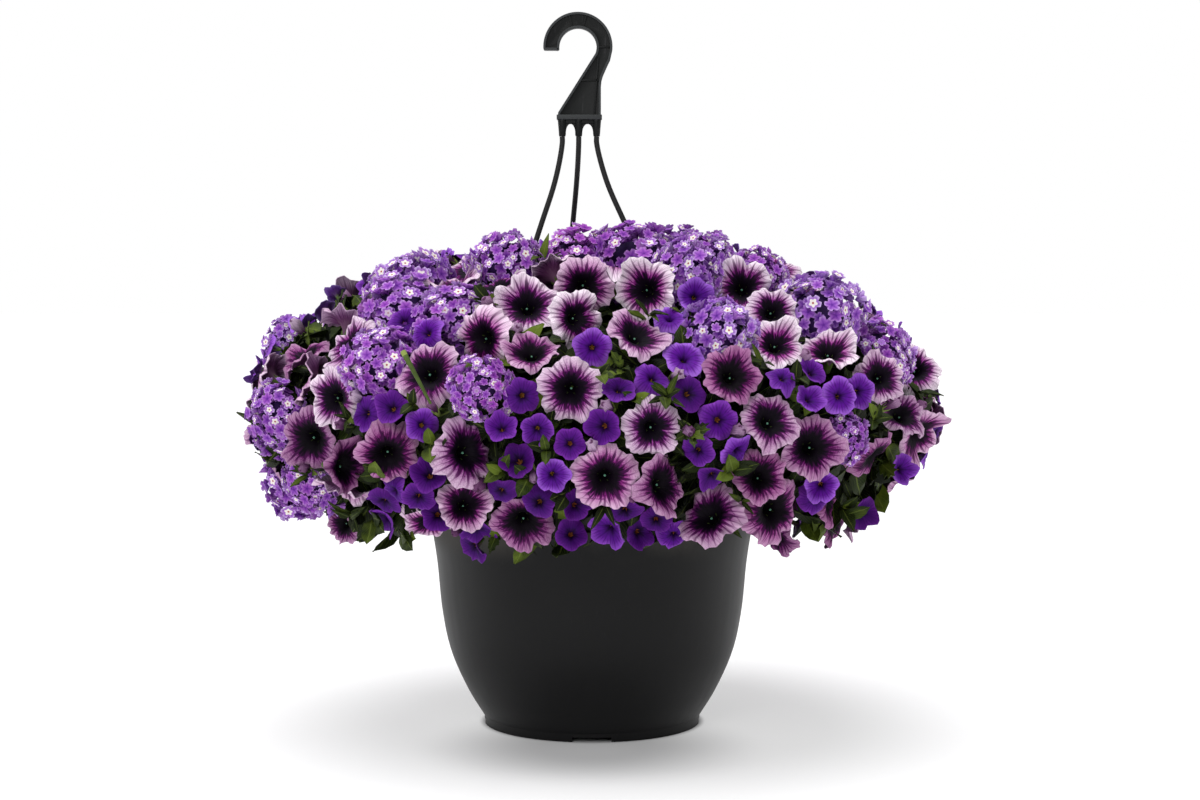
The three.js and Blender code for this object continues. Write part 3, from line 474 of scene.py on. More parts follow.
def spread(count, k):
    """Turning round by the golden angle from top to hem spreads places evenly."""
    height = 1 - (k + 0.5) / count * (1 - HEM)
    level, angle = math.sqrt(1 - height**2), GOLDEN_ANGLE * k
    return np.array([
        MOUND_RADIUS * level * math.cos(angle),
        MOUND_RADIUS * level * math.sin(angle),
        MOUND_MIDDLE + reach_of(height) * height,
    ])


print("the picture's middle shows", seen_at(PHOTO_WIDTH / 2, PHOTO_HEIGHT / 2).round(1))

# %% Push the flowers apart
PUSHES, PUSH_SHARE, MARGIN = 60, 0.4, 1


def has_room(flower, others, spacing):
    centre = flower.centre
    gaps = []
    for other in others:
        gaps.append(np.linalg.norm(centre - other.centre) - (flower.radius + other.radius) * spacing)
    to_strands = np.linalg.norm(strand_points - centre, axis=1).min()
    return min(gaps, default=1) > 0 and to_strands > flower.radius + STRAND_RADIUS


def settle(flowers):
    """Small pushes, each flower from its neighbours and from the strands."""
    radii = np.array([flower.radius for flower in flowers])
    for _ in range(PUSHES):
        centres = np.array([flower.centre for flower in flowers])
        pushes = np.zeros_like(centres)
        for places, widths in ((centres, radii), (strand_points, STRAND_RADIUS)):
            apart = centres[:, None] - places[None]
            distance = np.linalg.norm(apart, axis=2)
            lack = radii[:, None] + widths + MARGIN - distance
            lack[(distance == 0) | (lack < 0)] = 0
            away = apart / np.maximum(distance, 1e-9)[..., None]
            pushes += (away * lack[..., None] * PUSH_SHARE).sum(axis=1)
        for flower, push in zip(flowers, pushes):
            flower.at = onto_mound(flower.at + push)


print(PUSHES, "pushes, each", PUSH_SHARE, "of the room that two flowers lack")

# %% Plant them
SPIRAL_PLACES, SPIRAL_SPACING = 150, 0.93
FRONT_DEPTH, FRONT_TOP = -40, 0.85


def kind_for(chance):
    """The kind that a number between nought and one falls to, by each kind's share."""
    for kind, habit in KINDS.items():
        if chance < habit["share"]:
            break
        chance -= habit["share"]
    return kind


flowers = [Flower(kind, seen_at(*pixel), pixel) for kind, pixels in FRONT_PLAN.items() for pixel in pixels]
for k in range(SPIRAL_PLACES):
    at = spread(SPIRAL_PLACES, k)
    flower = Flower(kind_for(draw(0, 1)), at)
    is_planned = at[1] < FRONT_DEPTH and at[2] < MOUND_MIDDLE + FRONT_TOP * MOUND_RISE
    if not is_planned and has_room(flower, flowers, SPIRAL_SPACING):
        flowers.append(flower)
settle(flowers)
print("flowers:", {kind: sum(f.kind == kind for f in flowers) for kind in KINDS})

# %% [markdown]
# ## Each flower's own solid
#
# In the solids every flower is fused to the spray that carries it. The spray with the nearest corner is
# the flower's own, and a search tree finds that corner quickly. The distance left over shows whether the
# rule was repeated well: it is nought for the trumpets, whose foot is a corner of the solid. A verbena
# head is a plain dome there, so its middle has no corner.

# %% Find each flower's own solid
spray_of = {}
for kind, habit in KINDS.items():
    nodes = [(name, o) for name, o in frame["nodes"].items() if name.startswith(kind + "_spray")]
    corners = [(v.co * 1000, name) for name, o in nodes for v in o.data.vertices]
    nearest = kdtree.KDTree(len(corners))
    for index, (place, _) in enumerate(corners):
        nearest.insert(place, index)
    nearest.balance()
    furthest = 0
    for flower in (f for f in flowers if f.kind == kind):
        _, index, _ = nearest.find(Vector(flower.centre))
        spray_of[flower] = corners[index][1]
        foot = flower.centre - flower.face * habit["cup"] * flower.radius
        furthest = max(furthest, nearest.find(Vector(foot))[2])
    print(kind, "sprays:", len(nodes), "largest miss of a flower's foot:", round(furthest, 3), "mm")

# %% [markdown]
# ## Younger blooms
#
# A full basket also has smaller, younger flowers between the large ones, and from above it hardly shows
# any gaps. The solids keep few flowers on the top, sides and back, so two generations of smaller blooms
# are tried there, on finer spirals, and stay wherever they find room. The front stays as it is, because
# the photograph shows what grows there. Each young bloom belongs to the nearest spray of its own kind.

# %% Younger blooms at the back and on top
GENERATIONS = [
    {"places": 420, "size": 0.82, "spacing": 0.9},
    {"places": 700, "size": 0.7, "spacing": 0.84},
]
SIGHT_DEPTH, SIGHT_TOP = -70, 0.9
young = []
for generation in GENERATIONS:
    for k in range(generation["places"]):
        kind = "verbena" if k % 8 == 0 else "petunia" if k % 3 == 0 else "calibrachoa"
        flower = Flower(kind, spread(generation["places"], k))
        flower.radius *= generation["size"]
        in_sight = flower.at[1] < SIGHT_DEPTH and flower.at[2] < MOUND_MIDDLE + SIGHT_TOP * MOUND_RISE
        if not in_sight and has_room(flower, flowers + young, generation["spacing"]):
            young.append(flower)


def nearest_spray(at, kind):
    """The spray of the flower of a kind that is nearest to a place."""
    kin = [f for f in flowers if f.kind == kind]
    return spray_of[min(kin, key=lambda f: np.linalg.norm(f.at - at))]


spray_of.update({flower: nearest_spray(flower.at, flower.kind) for flower in young})
flowers += young
print("younger blooms:", {kind: sum(f.kind == kind for f in young) for kind in KINDS})

# %% [markdown]
# ## Free places
#
# Leaves and buds grow in the gaps. One that lay across a bloom's face or in its throat would look wrong,
# and so would one that a strand runs through. Each place is therefore measured against every bloom: how
# far ahead of its face it lies, and how far aside of its middle.

# %% Is a place free of blooms?
BEHIND_FACE, BEFORE_FACE, FACE_WIDTH = 0.25, 70, 1.1
THROAT_DEPTH, THROAT_WIDTH = 0.9, 0.34
STRAND_ROOM = 6
TRIES = 80
rng = np.random.default_rng(11)
centres = np.array([f.centre for f in flowers])
faces = np.array([f.face for f in flowers])
radii = np.array([f.radius for f in flowers])


def is_free(places):
    """True if none of the places lies on a bloom's face, in front of it, or on a strand."""
    for place in places:
        away = place - centres
        ahead = (away * faces).sum(axis=1)
        aside = np.linalg.norm(away - ahead[:, None] * faces, axis=1)
        on_face = (ahead > -BEHIND_FACE * radii) & (ahead < BEFORE_FACE) & (aside < FACE_WIDTH * radii)
        in_throat = (ahead > -THROAT_DEPTH * radii) & (ahead < 0) & (aside < THROAT_WIDTH * radii)
        if (on_face | in_throat).any():
            return False
        if np.linalg.norm(strand_points - place, axis=1).min() < STRAND_ROOM:
            return False
    return True


def near_free(column, row):
    """The nearest free place of the mound to the one that shows at a pixel, or None."""
    for attempt in range(TRIES):
        moved = rng.normal(0, 1 + attempt / 4, 2)
        at = seen_at(column + moved[0], row + moved[1])
        normal = mound_normal(at)
        if is_free([at - normal * 4, at + normal * 6]):
            return at
    return None


print("free places near the picture's middle:", near_free(592, 400) is not None)

# %% [markdown]
# ## Petals
#
# Petals of all three kinds carry the same kinds of marks: a dark eye, veins that fan out from it, and
# streaks along the petal, and a painted shade in the creases between the lobes. They could be painted on
# an image, but nodes stay sharp at any size. Every bloom's UV map is its face laid flat on a disc, so a
# node group can turn it into a share of the way out and a direction, and draw the veins from those. A
# bloom also carries two numbers, its tone and its warmth, so that no two blooms look alike. The tone also
# holds painted light: blooms higher on the mound are paler, lower ones darker.

# %% A node group for petals
LOBES = 5


def new_group(name, inputs, outputs):
    """An empty node group with number or vector sockets. It gives the group, its input and output."""
    group = bpy.data.node_groups.new(name, "ShaderNodeTree")
    for socket, value in inputs.items():
        kind = "NodeSocketVector" if value is None else "NodeSocketFloat"
        made = group.interface.new_socket(socket, in_out="INPUT", socket_type=kind)
        if value is not None:
            made.default_value = value
    for socket in outputs:
        group.interface.new_socket(socket, in_out="OUTPUT", socket_type="NodeSocketFloat")
    return group, group.nodes.new("NodeGroupInput"), group.nodes.new("NodeGroupOutput")


def give_out(group, result, values):
    """Links the values to the group's outputs."""
    for name, value in values.items():
        group.links.new(value, result.inputs[name])
    print(group.name, "has", len(group.nodes), "nodes")


def use_group(tree, group, inputs):
    """Places a node group in a material and gives its outputs."""
    return add(tree, "Group", inputs, node_tree=group).outputs


petals, given, result = new_group(
    "petal_marks",
    {"Disc": None, "Tone": 0.5, "Veins each": 5.0, "Wobble": 0.25},
    ("Share", "Streaks", "Veins", "Lobe"),
)
centred = vector_maths(petals, "MULTIPLY_ADD", given.outputs["Disc"], (2, 2, 0), (-1, -1, 0))
share = vector_maths(petals, "LENGTH", centred)
flat = parts(petals, vector_maths(petals, "NORMALIZE", centred))
angle = maths(petals, "ARCTAN2", flat["Y"], flat["X"])
height = times_add(petals, given.outputs["Tone"], 31.0, times(petals, share, 0.5))
seat = add(petals, "CombineXYZ", {"X": flat["X"], "Y": flat["Y"], "Z": height}).outputs[0]
bend = times(petals, off_middle(petals, noise(petals, seat, 2.6, 2.0)), given.outputs["Wobble"])
bent = maths(petals, "ADD", angle, bend)
streaks = noise(petals, seat, 10.0, 3.0)
lobe = times_add(petals, maths(petals, "COSINE", times(petals, angle, LOBES)), 0.5, 0.5)
print("petal group so far:", len(petals.nodes), "nodes")


# %% Draw the veins
def fan(many, low, high, start):
    """Lines that fan out from the throat, as many in each lobe as given, thinner towards the rim."""
    count = maths(petals, "ROUND", times(petals, given.outputs["Veins each"], LOBES * many))
    wave = maths(petals, "COSINE", times(petals, count, bent))
    narrow = between(petals, share, 0.2, 1.0, low, high)
    line = between(petals, maths(petals, "SUBTRACT", wave, narrow), 0.0, 0.14)
    line = times(petals, line, between(petals, share, start, start + 0.2))
    return times(petals, line, between(petals, share, 0.7, 1.0, 1.0, 0.5))


speckle = vector_maths(petals, "MULTIPLY_ADD", centred, seat, centred)
cells = add(petals, "TexVoronoi", {"Vector": speckle, "Scale": 9.0}, feature="DISTANCE_TO_EDGE")
net = between(petals, cells.outputs["Distance"], 0.0, 0.07, 0.55, 0.0)
net = times(petals, net, between(petals, share, 0.4, 0.7))
# Painted shade: thin dark lines in the creases where the lobes meet.
crease_shade = times(petals, between(petals, lobe, 0.0, 0.02, 0.9, 0.0), between(petals, share, 0.5, 0.7))
veins = fan(1.0, 0.2, 0.9, 0.2)
for lines in (times(petals, fan(2.0, 0.4, 0.86, 0.45), 0.7), net, crease_shade):
    veins = maths(petals, "MAXIMUM", veins, lines)
# The Veins output also carries the painted shade of the creases.
give_out(petals, result, {"Share": share, "Streaks": streaks, "Veins": veins, "Lobe": lobe})

# %% [markdown]
# ## The colour of each petal
#
# A petunia is black-purple in its throat and pale lilac at its rim, a calibrachoa is deep violet with a
# small yellow eye, and a verbena floret is mauve. In each the colour is a ramp over the share of the way
# out. The veins and the lobes push that share to and fro before it meets the ramp, so the eye's edge runs
# out along the veins, as it does in the real flower. The backs are duller, and have a material of their own.

# %% Petal materials
def own_number(tree, name):
    """A number that each bloom or leaf carries."""
    return add(tree, "Attribute", attribute_name=name).outputs["Fac"]


def own_disc(tree):
    """The place on the flat disc or blade that a bloom or leaf was drawn from."""
    return add(tree, "UVMap", uv_map="disc").outputs[0]


def petal_material(
    name, stops, vein, vein_share, warm, pale, each=5.0, wobble=0.25, ray=0.1, jag=0.34, painted_shade=0.9
):
    """Petals whose colour runs out from the throat by a ramp, with veins and a tone for each bloom."""
    material, tree = new_material(name)
    tone, warmth = own_number(tree, "tone"), own_number(tree, "warmth")
    inputs = {"Disc": own_disc(tree), "Tone": tone, "Veins each": each, "Wobble": wobble}
    marks = use_group(tree, petals, inputs)
    place = times_add(tree, off_middle(tree, marks["Streaks"]), jag, marks["Share"])
    place = times_add(tree, marks["Lobe"], -0.09, maths(tree, "ADD", place, 0.06))
    place = times_add(tree, marks["Veins"], -ray, place)
    # The tone moves the ramp: blooms of a higher tone, higher on the mound, are paler, as painted light.
    place = times_add(tree, off_middle(tree, tone), 0.16, place)
    colour = ramp(tree, place, stops)
    colour = blend(tree, times(tree, warmth, 0.4), colour, warm, "SOFT_LIGHT")
    # Pale rims: the petal's own pale margin, stronger for a high tone, which adds painted light higher up.
    pale_rim_and_light = times(tree, between(tree, marks["Share"], 0.55, 1.0), between(tree, tone, 0.25, 0.95, 0.1, 0.9))
    colour = blend(tree, pale_rim_and_light, colour, pale)
    # Painted shade: blooms of a low tone, lower on the mound, are darkened by a multiply.
    colour = blend(tree, between(tree, tone, 0.1, 0.65, painted_shade, 0.0), colour, "#b088a8", "MULTIPLY")
    veined = times(tree, marks["Veins"], between(tree, marks["Share"], 0.36, 0.6, 0.0, vein_share))
    colour = blend(tree, veined, colour, vein)
    folds = times_add(tree, marks["Streaks"], 0.6, times(tree, marks["Veins"], -0.5))
    set_shader(tree, {
        "Base Color": colour, "Roughness": 0.6, "Specular IOR Level": 0.08,
        "Normal": bump(tree, folds, 0.5, 0.0009),
    })
    return material


petunia_face = petal_material(
    "petunia_petals",
    [(0.0, "#030104"), (0.43, "#0d0214"), (0.51, "#260630"), (0.555, "#5a105c"), (0.61, "#863484"),
     (0.68, "#ae76ac"), (0.82, "#c79ec4"), (1.0, "#dabed8")],
    vein="#481048", vein_share=0.75, warm="#e060b0", pale="#f6ebf4",
    each=3.0, wobble=0.34, ray=0.15, jag=0.5, painted_shade=0.85,
)
petunia_back = petal_material(
    "petunia_petal_backs",
    [(0.0, "#5f7040"), (0.15, "#6b5566"), (0.45, "#5a3559"), (0.8, "#7d5580"), (1.0, "#b498b6")],
    vein="#401c46", vein_share=0.55, warm="#c070a8", pale="#d0b8d0",
)
calibrachoa_face = petal_material(
    "calibrachoa_petals",
    [(0.0, "#c89c48"), (0.07, "#a87832"), (0.11, "#1c0630"), (0.2, "#2a0848"), (0.4, "#4c0f80"),
     (0.8, "#6c20a2"), (1.0, "#8a3fc0")],
    vein="#380a5a", vein_share=0.5, warm="#c038b8", pale="#a870dc",
    each=3.0, wobble=0.25, ray=0.06, jag=0.12, painted_shade=0.85,
)
calibrachoa_back = petal_material(
    "calibrachoa_petal_backs",
    [(0.0, "#6d7a4a"), (0.2, "#553a66"), (0.7, "#5a2c80"), (1.0, "#77489c")],
    vein="#3b1a62", vein_share=0.4, warm="#9a4bb0", pale="#8a70b8", each=3.0,
)
verbena_face = petal_material(
    "verbena_petals",
    [(0.0, "#52248a"), (0.2, "#7a40ae"), (0.5, "#9a60c4"), (1.0, "#c29adf")],
    vein="#5a2c94", vein_share=0.3, warm="#f03c98", pale="#dcc4f4",
    each=1.0, wobble=0.25, ray=0.1, jag=0.5, painted_shade=0.2,
)
print("petal materials:", [m.name for m in bpy.data.materials if "petal" in m.name])


# %% [markdown]
# ## The white eye
#
# Many verbena florets have a white eye. It is a star, because the white runs out along the five lobes, so
# the share of the way out is again pushed by the lobes. Only florets of a bright tone get one, and their
# dot of orange-red sits in the mouth of the tube.

# %% The white eye of a verbena floret
def give_white_eye(material):
    """The florets of a bright tone have a white star round a small orange-red dot."""
    tree = material.node_tree
    plain = tree.nodes["Principled BSDF"].inputs["Base Color"].links[0].from_socket
    tone = own_number(tree, "tone")
    marks = use_group(tree, petals, {"Disc": own_disc(tree), "Tone": tone, "Veins each": 1.0, "Wobble": 0.1})
    star = times_add(tree, marks["Lobe"], -0.16, marks["Share"])
    white = times(tree, between(tree, star, 0.31, 0.43, 1.0, 0.0), between(tree, tone, 0.56, 0.63))
    colour = blend(tree, white, plain, "#f3ece6")
    dot = times(tree, between(tree, marks["Share"], 0.08, 0.16, 1.0, 0.0), white)
    set_shader(tree, {"Base Color": blend(tree, dot, colour, "#a5382c")})


give_white_eye(verbena_face)
print("verbena petals:", len(verbena_face.node_tree.nodes), "nodes")

# %% [markdown]
# ## Leaves, stems and soil
#
# A leaf is green in patches, painted darker deep in the plant as painted shade, and fresher at its tips,
# with a paler midrib. The leaf's UV map runs along and across the blade, so the midrib and side veins
# follow it. Stems, sepals and buds are a plainer, paler green with a purple flush. The cores of the foliage
# and the hearts of the verbena heads are near-black green and dark plum, a painted shade. The soil is
# dark and lumpy, with pale specks.

# %% A node group for uneven growth
growth, given, result = new_group("uneven_growth", {"Scale": 60.0, "Tone": 0.5}, ("Patches", "Grain"))
here = add(growth, "TexCoord").outputs["Object"]
patches = noise(growth, vector_maths(growth, "ADD", here, given.outputs["Tone"]), given.outputs["Scale"], 3.0)
give_out(growth, result, {"Patches": patches, "Grain": noise(growth, here, 900.0, 2.0)})


# %% Greens
def ribs_of(tree):
    """The midrib and the side veins of a leaf, from its place on the blade."""
    flat = parts(tree, own_disc(tree))
    across = maths(tree, "ABSOLUTE", off_middle(tree, flat["X"]))
    midrib = between(tree, across, 0.02, 0.06, 1.0, 0.0)
    wave = maths(tree, "SINE", times(tree, times_add(tree, across, -0.9, flat["Y"]), 50.0))
    return maths(tree, "MAXIMUM", midrib, times(tree, between(tree, wave, 0.8, 1.0), 0.45))


def green_material(name, dark, middle, fresh_and_lit, rib=None, roughness=0.8):
    """Leaf green: warmth is freshness with painted shade and light, and tone sets the patches."""
    material, tree = new_material(name)
    tone = own_number(tree, "tone")
    uneven = use_group(tree, growth, {"Scale": 70.0, "Tone": tone})
    # A leaf's warmth holds its freshness and its painted shade: deep leaves darker, higher ones lighter.
    age_and_shade = times_add(tree, off_middle(tree, uneven["Patches"]), 0.9, own_number(tree, "warmth"))
    age_and_shade = times_add(tree, off_middle(tree, tone), 0.5, age_and_shade)
    colour = ramp(tree, age_and_shade, [(0.05, dark), (0.6, middle), (1.0, fresh_and_lit)])
    height = uneven["Grain"]
    if rib:
        lines = ribs_of(tree)
        colour = blend(tree, times(tree, lines, 0.4), colour, rib)
        height = times_add(tree, lines, -0.8, height)
    set_shader(tree, {
        "Base Color": colour, "Roughness": roughness, "Specular IOR Level": 0.14,
        "Normal": bump(tree, height, 0.5, 0.0006),
    })
    return material


leaf_green = green_material("leaf_green", "#070c02", "#1f2c08", "#5c6d1e", rib="#76863a", roughness=0.55)
stem_green = green_material("stem_green", "#2c3a18", "#566a30", "#8a9a50", roughness=0.55)
# The dark plum of the verbena head's heart: a painted shade between the florets.
heart_shade_plum = green_material("verbena_heart_shade", "#24123a", "#3a2058", "#503070")
# The cores of the foliage are near-black green, a painted shade between the leaves.
core_shade_green = green_material("foliage_core_shade", "#060a03", "#0e1606", "#1c2a0c")
print("greens:", [m.name for m in (leaf_green, stem_green, heart_shade_plum, core_shade_green)])

# %% The stigma and the soil
stigma_paint, tree = new_material("stigma")
uneven = use_group(tree, growth, {"Scale": 900.0, "Tone": 0.2})
set_shader(tree, {"Base Color": blend(tree, uneven["Patches"], "#1c4f3c", "#6aa688"), "Roughness": 0.35})

soil_brown, tree = new_material("potting_soil")
uneven = use_group(tree, growth, {"Scale": 240.0, "Tone": 0.7})
specks = add(tree, "TexVoronoi", {"Scale": 300.0}).outputs["Distance"]
colour = ramp(tree, uneven["Patches"], [(0.25, "#120b06"), (0.6, "#2e1f14"), (0.8, "#4a3625")])
colour = blend(tree, between(tree, specks, 0.05, 0.12, 0.8, 0.0), colour, "#cfc6b4")
lumps = maths(tree, "ADD", uneven["Patches"], uneven["Grain"])
set_shader(tree, {"Base Color": colour, "Roughness": 0.95, "Normal": bump(tree, lumps, 1.0, 0.003)})
frame["nodes"]["potting_soil"].data.materials.clear()
frame["nodes"]["potting_soil"].data.materials.append(soil_brown)
print("soil:", len(tree.nodes), "nodes")

# %% [markdown]
# ## Charcoal plastic
#
# Pot and hanger are injection-moulded: dark grey, satin, with a very fine grain, faint flow streaks, and
# a little dust and scuffing on whatever stands out. One node group makes the marks for both, and each
# material sets how strong they are. The hook's raised border is painted paler: a painted highlight where
# its edges catch the light, and wear.

# %% A node group for moulded plastic
moulded, given, result = new_group(
    "moulded_marks", {"Dust height": 0.2, "Scuffs": 0.3}, ("Dust", "Scuffs", "Grain", "Flow")
)
here = add(moulded, "TexCoord").outputs["Object"]
clouds = noise(moulded, here, 14.0, 5.0)
tall = add(moulded, "Mapping", {"Vector": here, "Scale": (90, 90, 9)}).outputs[0]
near = maths(moulded, "SUBTRACT", parts(moulded, here)["Z"], given.outputs["Dust height"])
dusty = between(moulded, maths(moulded, "ABSOLUTE", near), 0.0, 0.035, 1.0, 0.0)
dusty = times(moulded, dusty, between(moulded, clouds, 0.4, 0.7))
slanted = {"Vector": here, "Scale": (500, 500, 40), "Rotation": (0.5, 0.3, 0)}
scratch = noise(moulded, add(moulded, "Mapping", slanted).outputs[0], 1.0, 4.0)
scuffed = times(moulded, between(moulded, scratch, 0.62, 0.75), given.outputs["Scuffs"])
give_out(moulded, result, {
    "Dust": dusty, "Scuffs": scuffed, "Grain": noise(moulded, here, 1800.0, 2.0),
    "Flow": noise(moulded, tall, 1.0, 3.0),
})

# %% Plastic materials
BORDER_DEPTH, FLANGE_FOOT = (0.0036, 0.0043), (0.574, 0.576)


def plastic_material(name, base, light, dust_height, scuffs, border_highlight_and_wear=0.0):
    """Moulded plastic. The last share is how much paler the hook's raised border is painted: highlight and
    wear.
    """
    material, tree = new_material(name)
    marks = use_group(tree, moulded, {"Dust height": dust_height, "Scuffs": scuffs})
    colour = blend(tree, marks["Flow"], base, light)
    colour = blend(tree, times(tree, marks["Dust"], 0.25), colour, "#8b857c")
    colour = blend(tree, times(tree, marks["Scuffs"], 0.3), colour, "#77777a")
    flat = parts(tree, add(tree, "TexCoord").outputs["Object"])
    # Painted highlight and wear: the hook's raised border above the flange is painted paler.
    raised = between(tree, maths(tree, "ABSOLUTE", flat["Y"]), *BORDER_DEPTH, 0.0, border_highlight_and_wear)
    raised = times(tree, raised, between(tree, flat["Z"], *FLANGE_FOOT))
    rough = times_add(tree, marks["Dust"], 0.25, times_add(tree, marks["Flow"], 0.1, 0.42))
    set_shader(tree, {
        "Base Color": blend(tree, raised, colour, "#4c4f50"), "Roughness": rough,
        "Specular IOR Level": 0.17, "Normal": bump(tree, marks["Grain"], 0.2, 0.0001),
    })
    return material


pot_plastic = plastic_material("pot_plastic", "#0e0e0f", "#131314", dust_height=0.2, scuffs=0.05)
hanger_plastic = plastic_material("hanger_plastic", "#0a0c0c", "#111313", 0.3, scuffs=0.3, border_highlight_and_wear=0.5)
strand_plastic = plastic_material("strand_plastic", "#202020", "#282828", 0.3, scuffs=0.0)
print("plastics:", [m.name for m in (pot_plastic, hanger_plastic, strand_plastic)])

# %% [markdown]
# ## The pot
#
# A pot is turned: one profile, spun once round its axis, gives foot, wall, shoulder, band and lip. The
# ring edges are then rounded a little, as a mould leaves them. The notches in the foot and the drain
# holes are cut with boolean cutters, because they cross the turned shape.

# %% Turned shapes and round edges
def spun(profile, steps):
    """A bmesh of an (r, z) profile turned once round Z."""
    bm = bmesh.new()
    line = [bm.verts.new((r, 0, z)) for r, z in profile]
    edges = [bm.edges.new(pair) for pair in zip(line, line[1:])]
    bmesh.ops.spin(bm, geom=line + edges, cent=(0, 0, 0), axis=(0, 0, 1), angle=math.tau, steps=steps,
                   use_merge=True)
    bmesh.ops.remove_doubles(bm, verts=bm.verts, dist=1e-6)
    bmesh.ops.recalc_face_normals(bm, faces=bm.faces)
    return bm


def bevel(bm, edges, offset, segments, clamp=True):
    bmesh.ops.bevel(bm, geom=edges, offset=offset, segments=segments, profile=0.5, affect="EDGES",
                    material=-1, clamp_overlap=clamp)


def round_edges(bm, degrees, offset, segments=2):
    """Rounds every edge that bends by more than some degrees."""
    sharp = [e for e in bm.edges if len(e.link_faces) == 2 and e.calc_face_angle() > math.radians(degrees)]
    bevel(bm, sharp, offset, segments)


def box_bm(size, centre, turn=0.0, axis="Z"):
    bm = bmesh.new()
    place = Matrix.Translation(centre) @ Matrix.Rotation(turn, 4, axis) @ Matrix.Diagonal((*size, 1))
    bmesh.ops.create_cube(bm, size=1, matrix=place)
    return bm


def tapered_bm(low_radius, high_radius, height, segments, centre):
    """An upright cone or cylinder with closed ends."""
    bm = bmesh.new()
    bmesh.ops.create_cone(bm, cap_ends=True, segments=segments, radius1=low_radius, radius2=high_radius,
                          depth=height, matrix=Matrix.Translation(centre))
    return bm


print("ready: spun, bevel, round_edges, box_bm, tapered_bm")


# %% Finished pieces and cut holes
def make_piece(name, mesh, nodes, materials, sharp=35):
    """Shows a mesh as a finished piece of the basket, in the place of some of the model's nodes."""
    piece = show(name, mesh)
    for material in materials:
        mesh.materials.append(material)
    mesh.shade_smooth()
    mesh.set_sharp_from_angle(angle=math.radians(sharp))
    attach(piece, "root")
    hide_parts(*nodes)
    mesh.calc_loop_triangles()
    print(name, "triangles:", len(mesh.loop_triangles))


def carve(mesh, cutters):
    """Cuts the closed meshes out of a mesh with boolean modifiers, and gives the result."""
    block = show("block", mesh)
    tools = [show("cutter", cutter) for cutter in cutters]
    for tool in tools:
        cut = block.modifiers.new("cut", "BOOLEAN")
        cut.operation, cut.solver, cut.object = "DIFFERENCE", "EXACT", tool
    carved = bpy.data.meshes.new_from_object(block.evaluated_get(bpy.context.evaluated_depsgraph_get()))
    for o in (block, *tools):
        bpy.data.objects.remove(o)
    return carved


print("ready: make_piece, carve")

# %% Turn the pot
FOOT_RADIUS, FOOT_WIDTH, FOOT_HEIGHT, WALL = 0.1034, 0.009, 0.008, 0.0024
NOTCH, DRAIN_RADIUS, DRAIN_RING = (0.036, 0.036, 0.009), 0.005, 0.07
OUTLINE = [
    (0.1044, 0.009), (0.1186, 0.0323), (0.1353, 0.0704), (0.1434, 0.1085), (0.1482, 0.156), (0.154, 0.194),
]
BAND_AND_LIP = [
    (0.155, 0.199), (0.1488, 0.2), (0.1488, 0.209), (0.15, 0.209),
    (0.15, 0.215), (0.146, 0.215), (0.146, 0.199),
]
wall = [tuple(p[:2]) for p in smooth_curve([np.array([r, z, 0.0]) for r, z in OUTLINE], 24)]
inside = [(r - WALL, z) for r, z in wall[2:]]
foot_inside = FOOT_RADIUS - FOOT_WIDTH
profile = [
    (0, FOOT_HEIGHT), (foot_inside, FOOT_HEIGHT), (foot_inside, 0), (FOOT_RADIUS, 0),
    (FOOT_RADIUS, FOOT_HEIGHT), *wall, *BAND_AND_LIP, *inside[::-1],
    (FOOT_RADIUS - WALL, FOOT_HEIGHT + WALL), (0, FOOT_HEIGHT + WALL),
]
pot_bm = spun(profile, 120)
round_edges(pot_bm, 40, 0.0006)
cutters = []
for k in range(4):
    notch = box_bm(NOTCH, polar(FOOT_RADIUS, 90 * k, 0), math.radians(90 * k))
    drain = tapered_bm(DRAIN_RADIUS, DRAIN_RADIUS, 0.012, 24, polar(DRAIN_RING, 90 * k + 45, FOOT_HEIGHT))
    cutters += [as_mesh(notch, "notch"), as_mesh(drain, "drain")]
make_piece("pot_turned", carve(as_mesh(pot_bm, "pot"), cutters), ["pot"], [pot_plastic])

# %% [markdown]
# ## The hook
#
# The hook is a flat moulding: a plate with a raised border and thin pockets, with ribs, a flange and
# sockets that come in the next step. Its outline is a few straight runs and two arcs, which a
# spun vertex draws. Extruding the outline gives the plate, and an inset on both sides gives the pockets.
# The tip's corners are rounded after that, because an inset along a small round corner would fold over.

# %% Draw lines and arcs
CENTRE = (-0.0133, 0.6438)
ARC_STEPS = 40


def line_to(bm, start, x, z):
    end = bm.verts.new((x, 0, z))
    bm.edges.new((start, end))
    return end


def arc(bm, vert, degrees):
    """Draws an arc from a vertex round the hook's centre, and gives its last vertex."""
    turned = bmesh.ops.spin(bm, geom=[vert], cent=(CENTRE[0], 0, CENTRE[1]), axis=(0, -1, 0),
                            angle=math.radians(degrees), steps=ARC_STEPS, use_merge=False)
    return next(g for g in turned["geom_last"] if isinstance(g, bmesh.types.BMVert))


def on_ring(radius, degrees):
    """A place on the hook's ring, in the hook's plane."""
    x, z, _ = polar(radius, degrees, 0)
    return CENTRE[0] + x, CENTRE[1] + z


def pull_out(bm, way):
    """Extrudes a flat shape into a solid whose faces point outwards."""
    grown = bmesh.ops.extrude_face_region(bm, geom=bm.faces[:])
    moved = [g for g in grown["geom"] if isinstance(g, bmesh.types.BMVert)]
    bmesh.ops.translate(bm, verts=moved, vec=way)
    bmesh.ops.recalc_face_normals(bm, faces=bm.faces)


print("the ring's centre:", CENTRE)

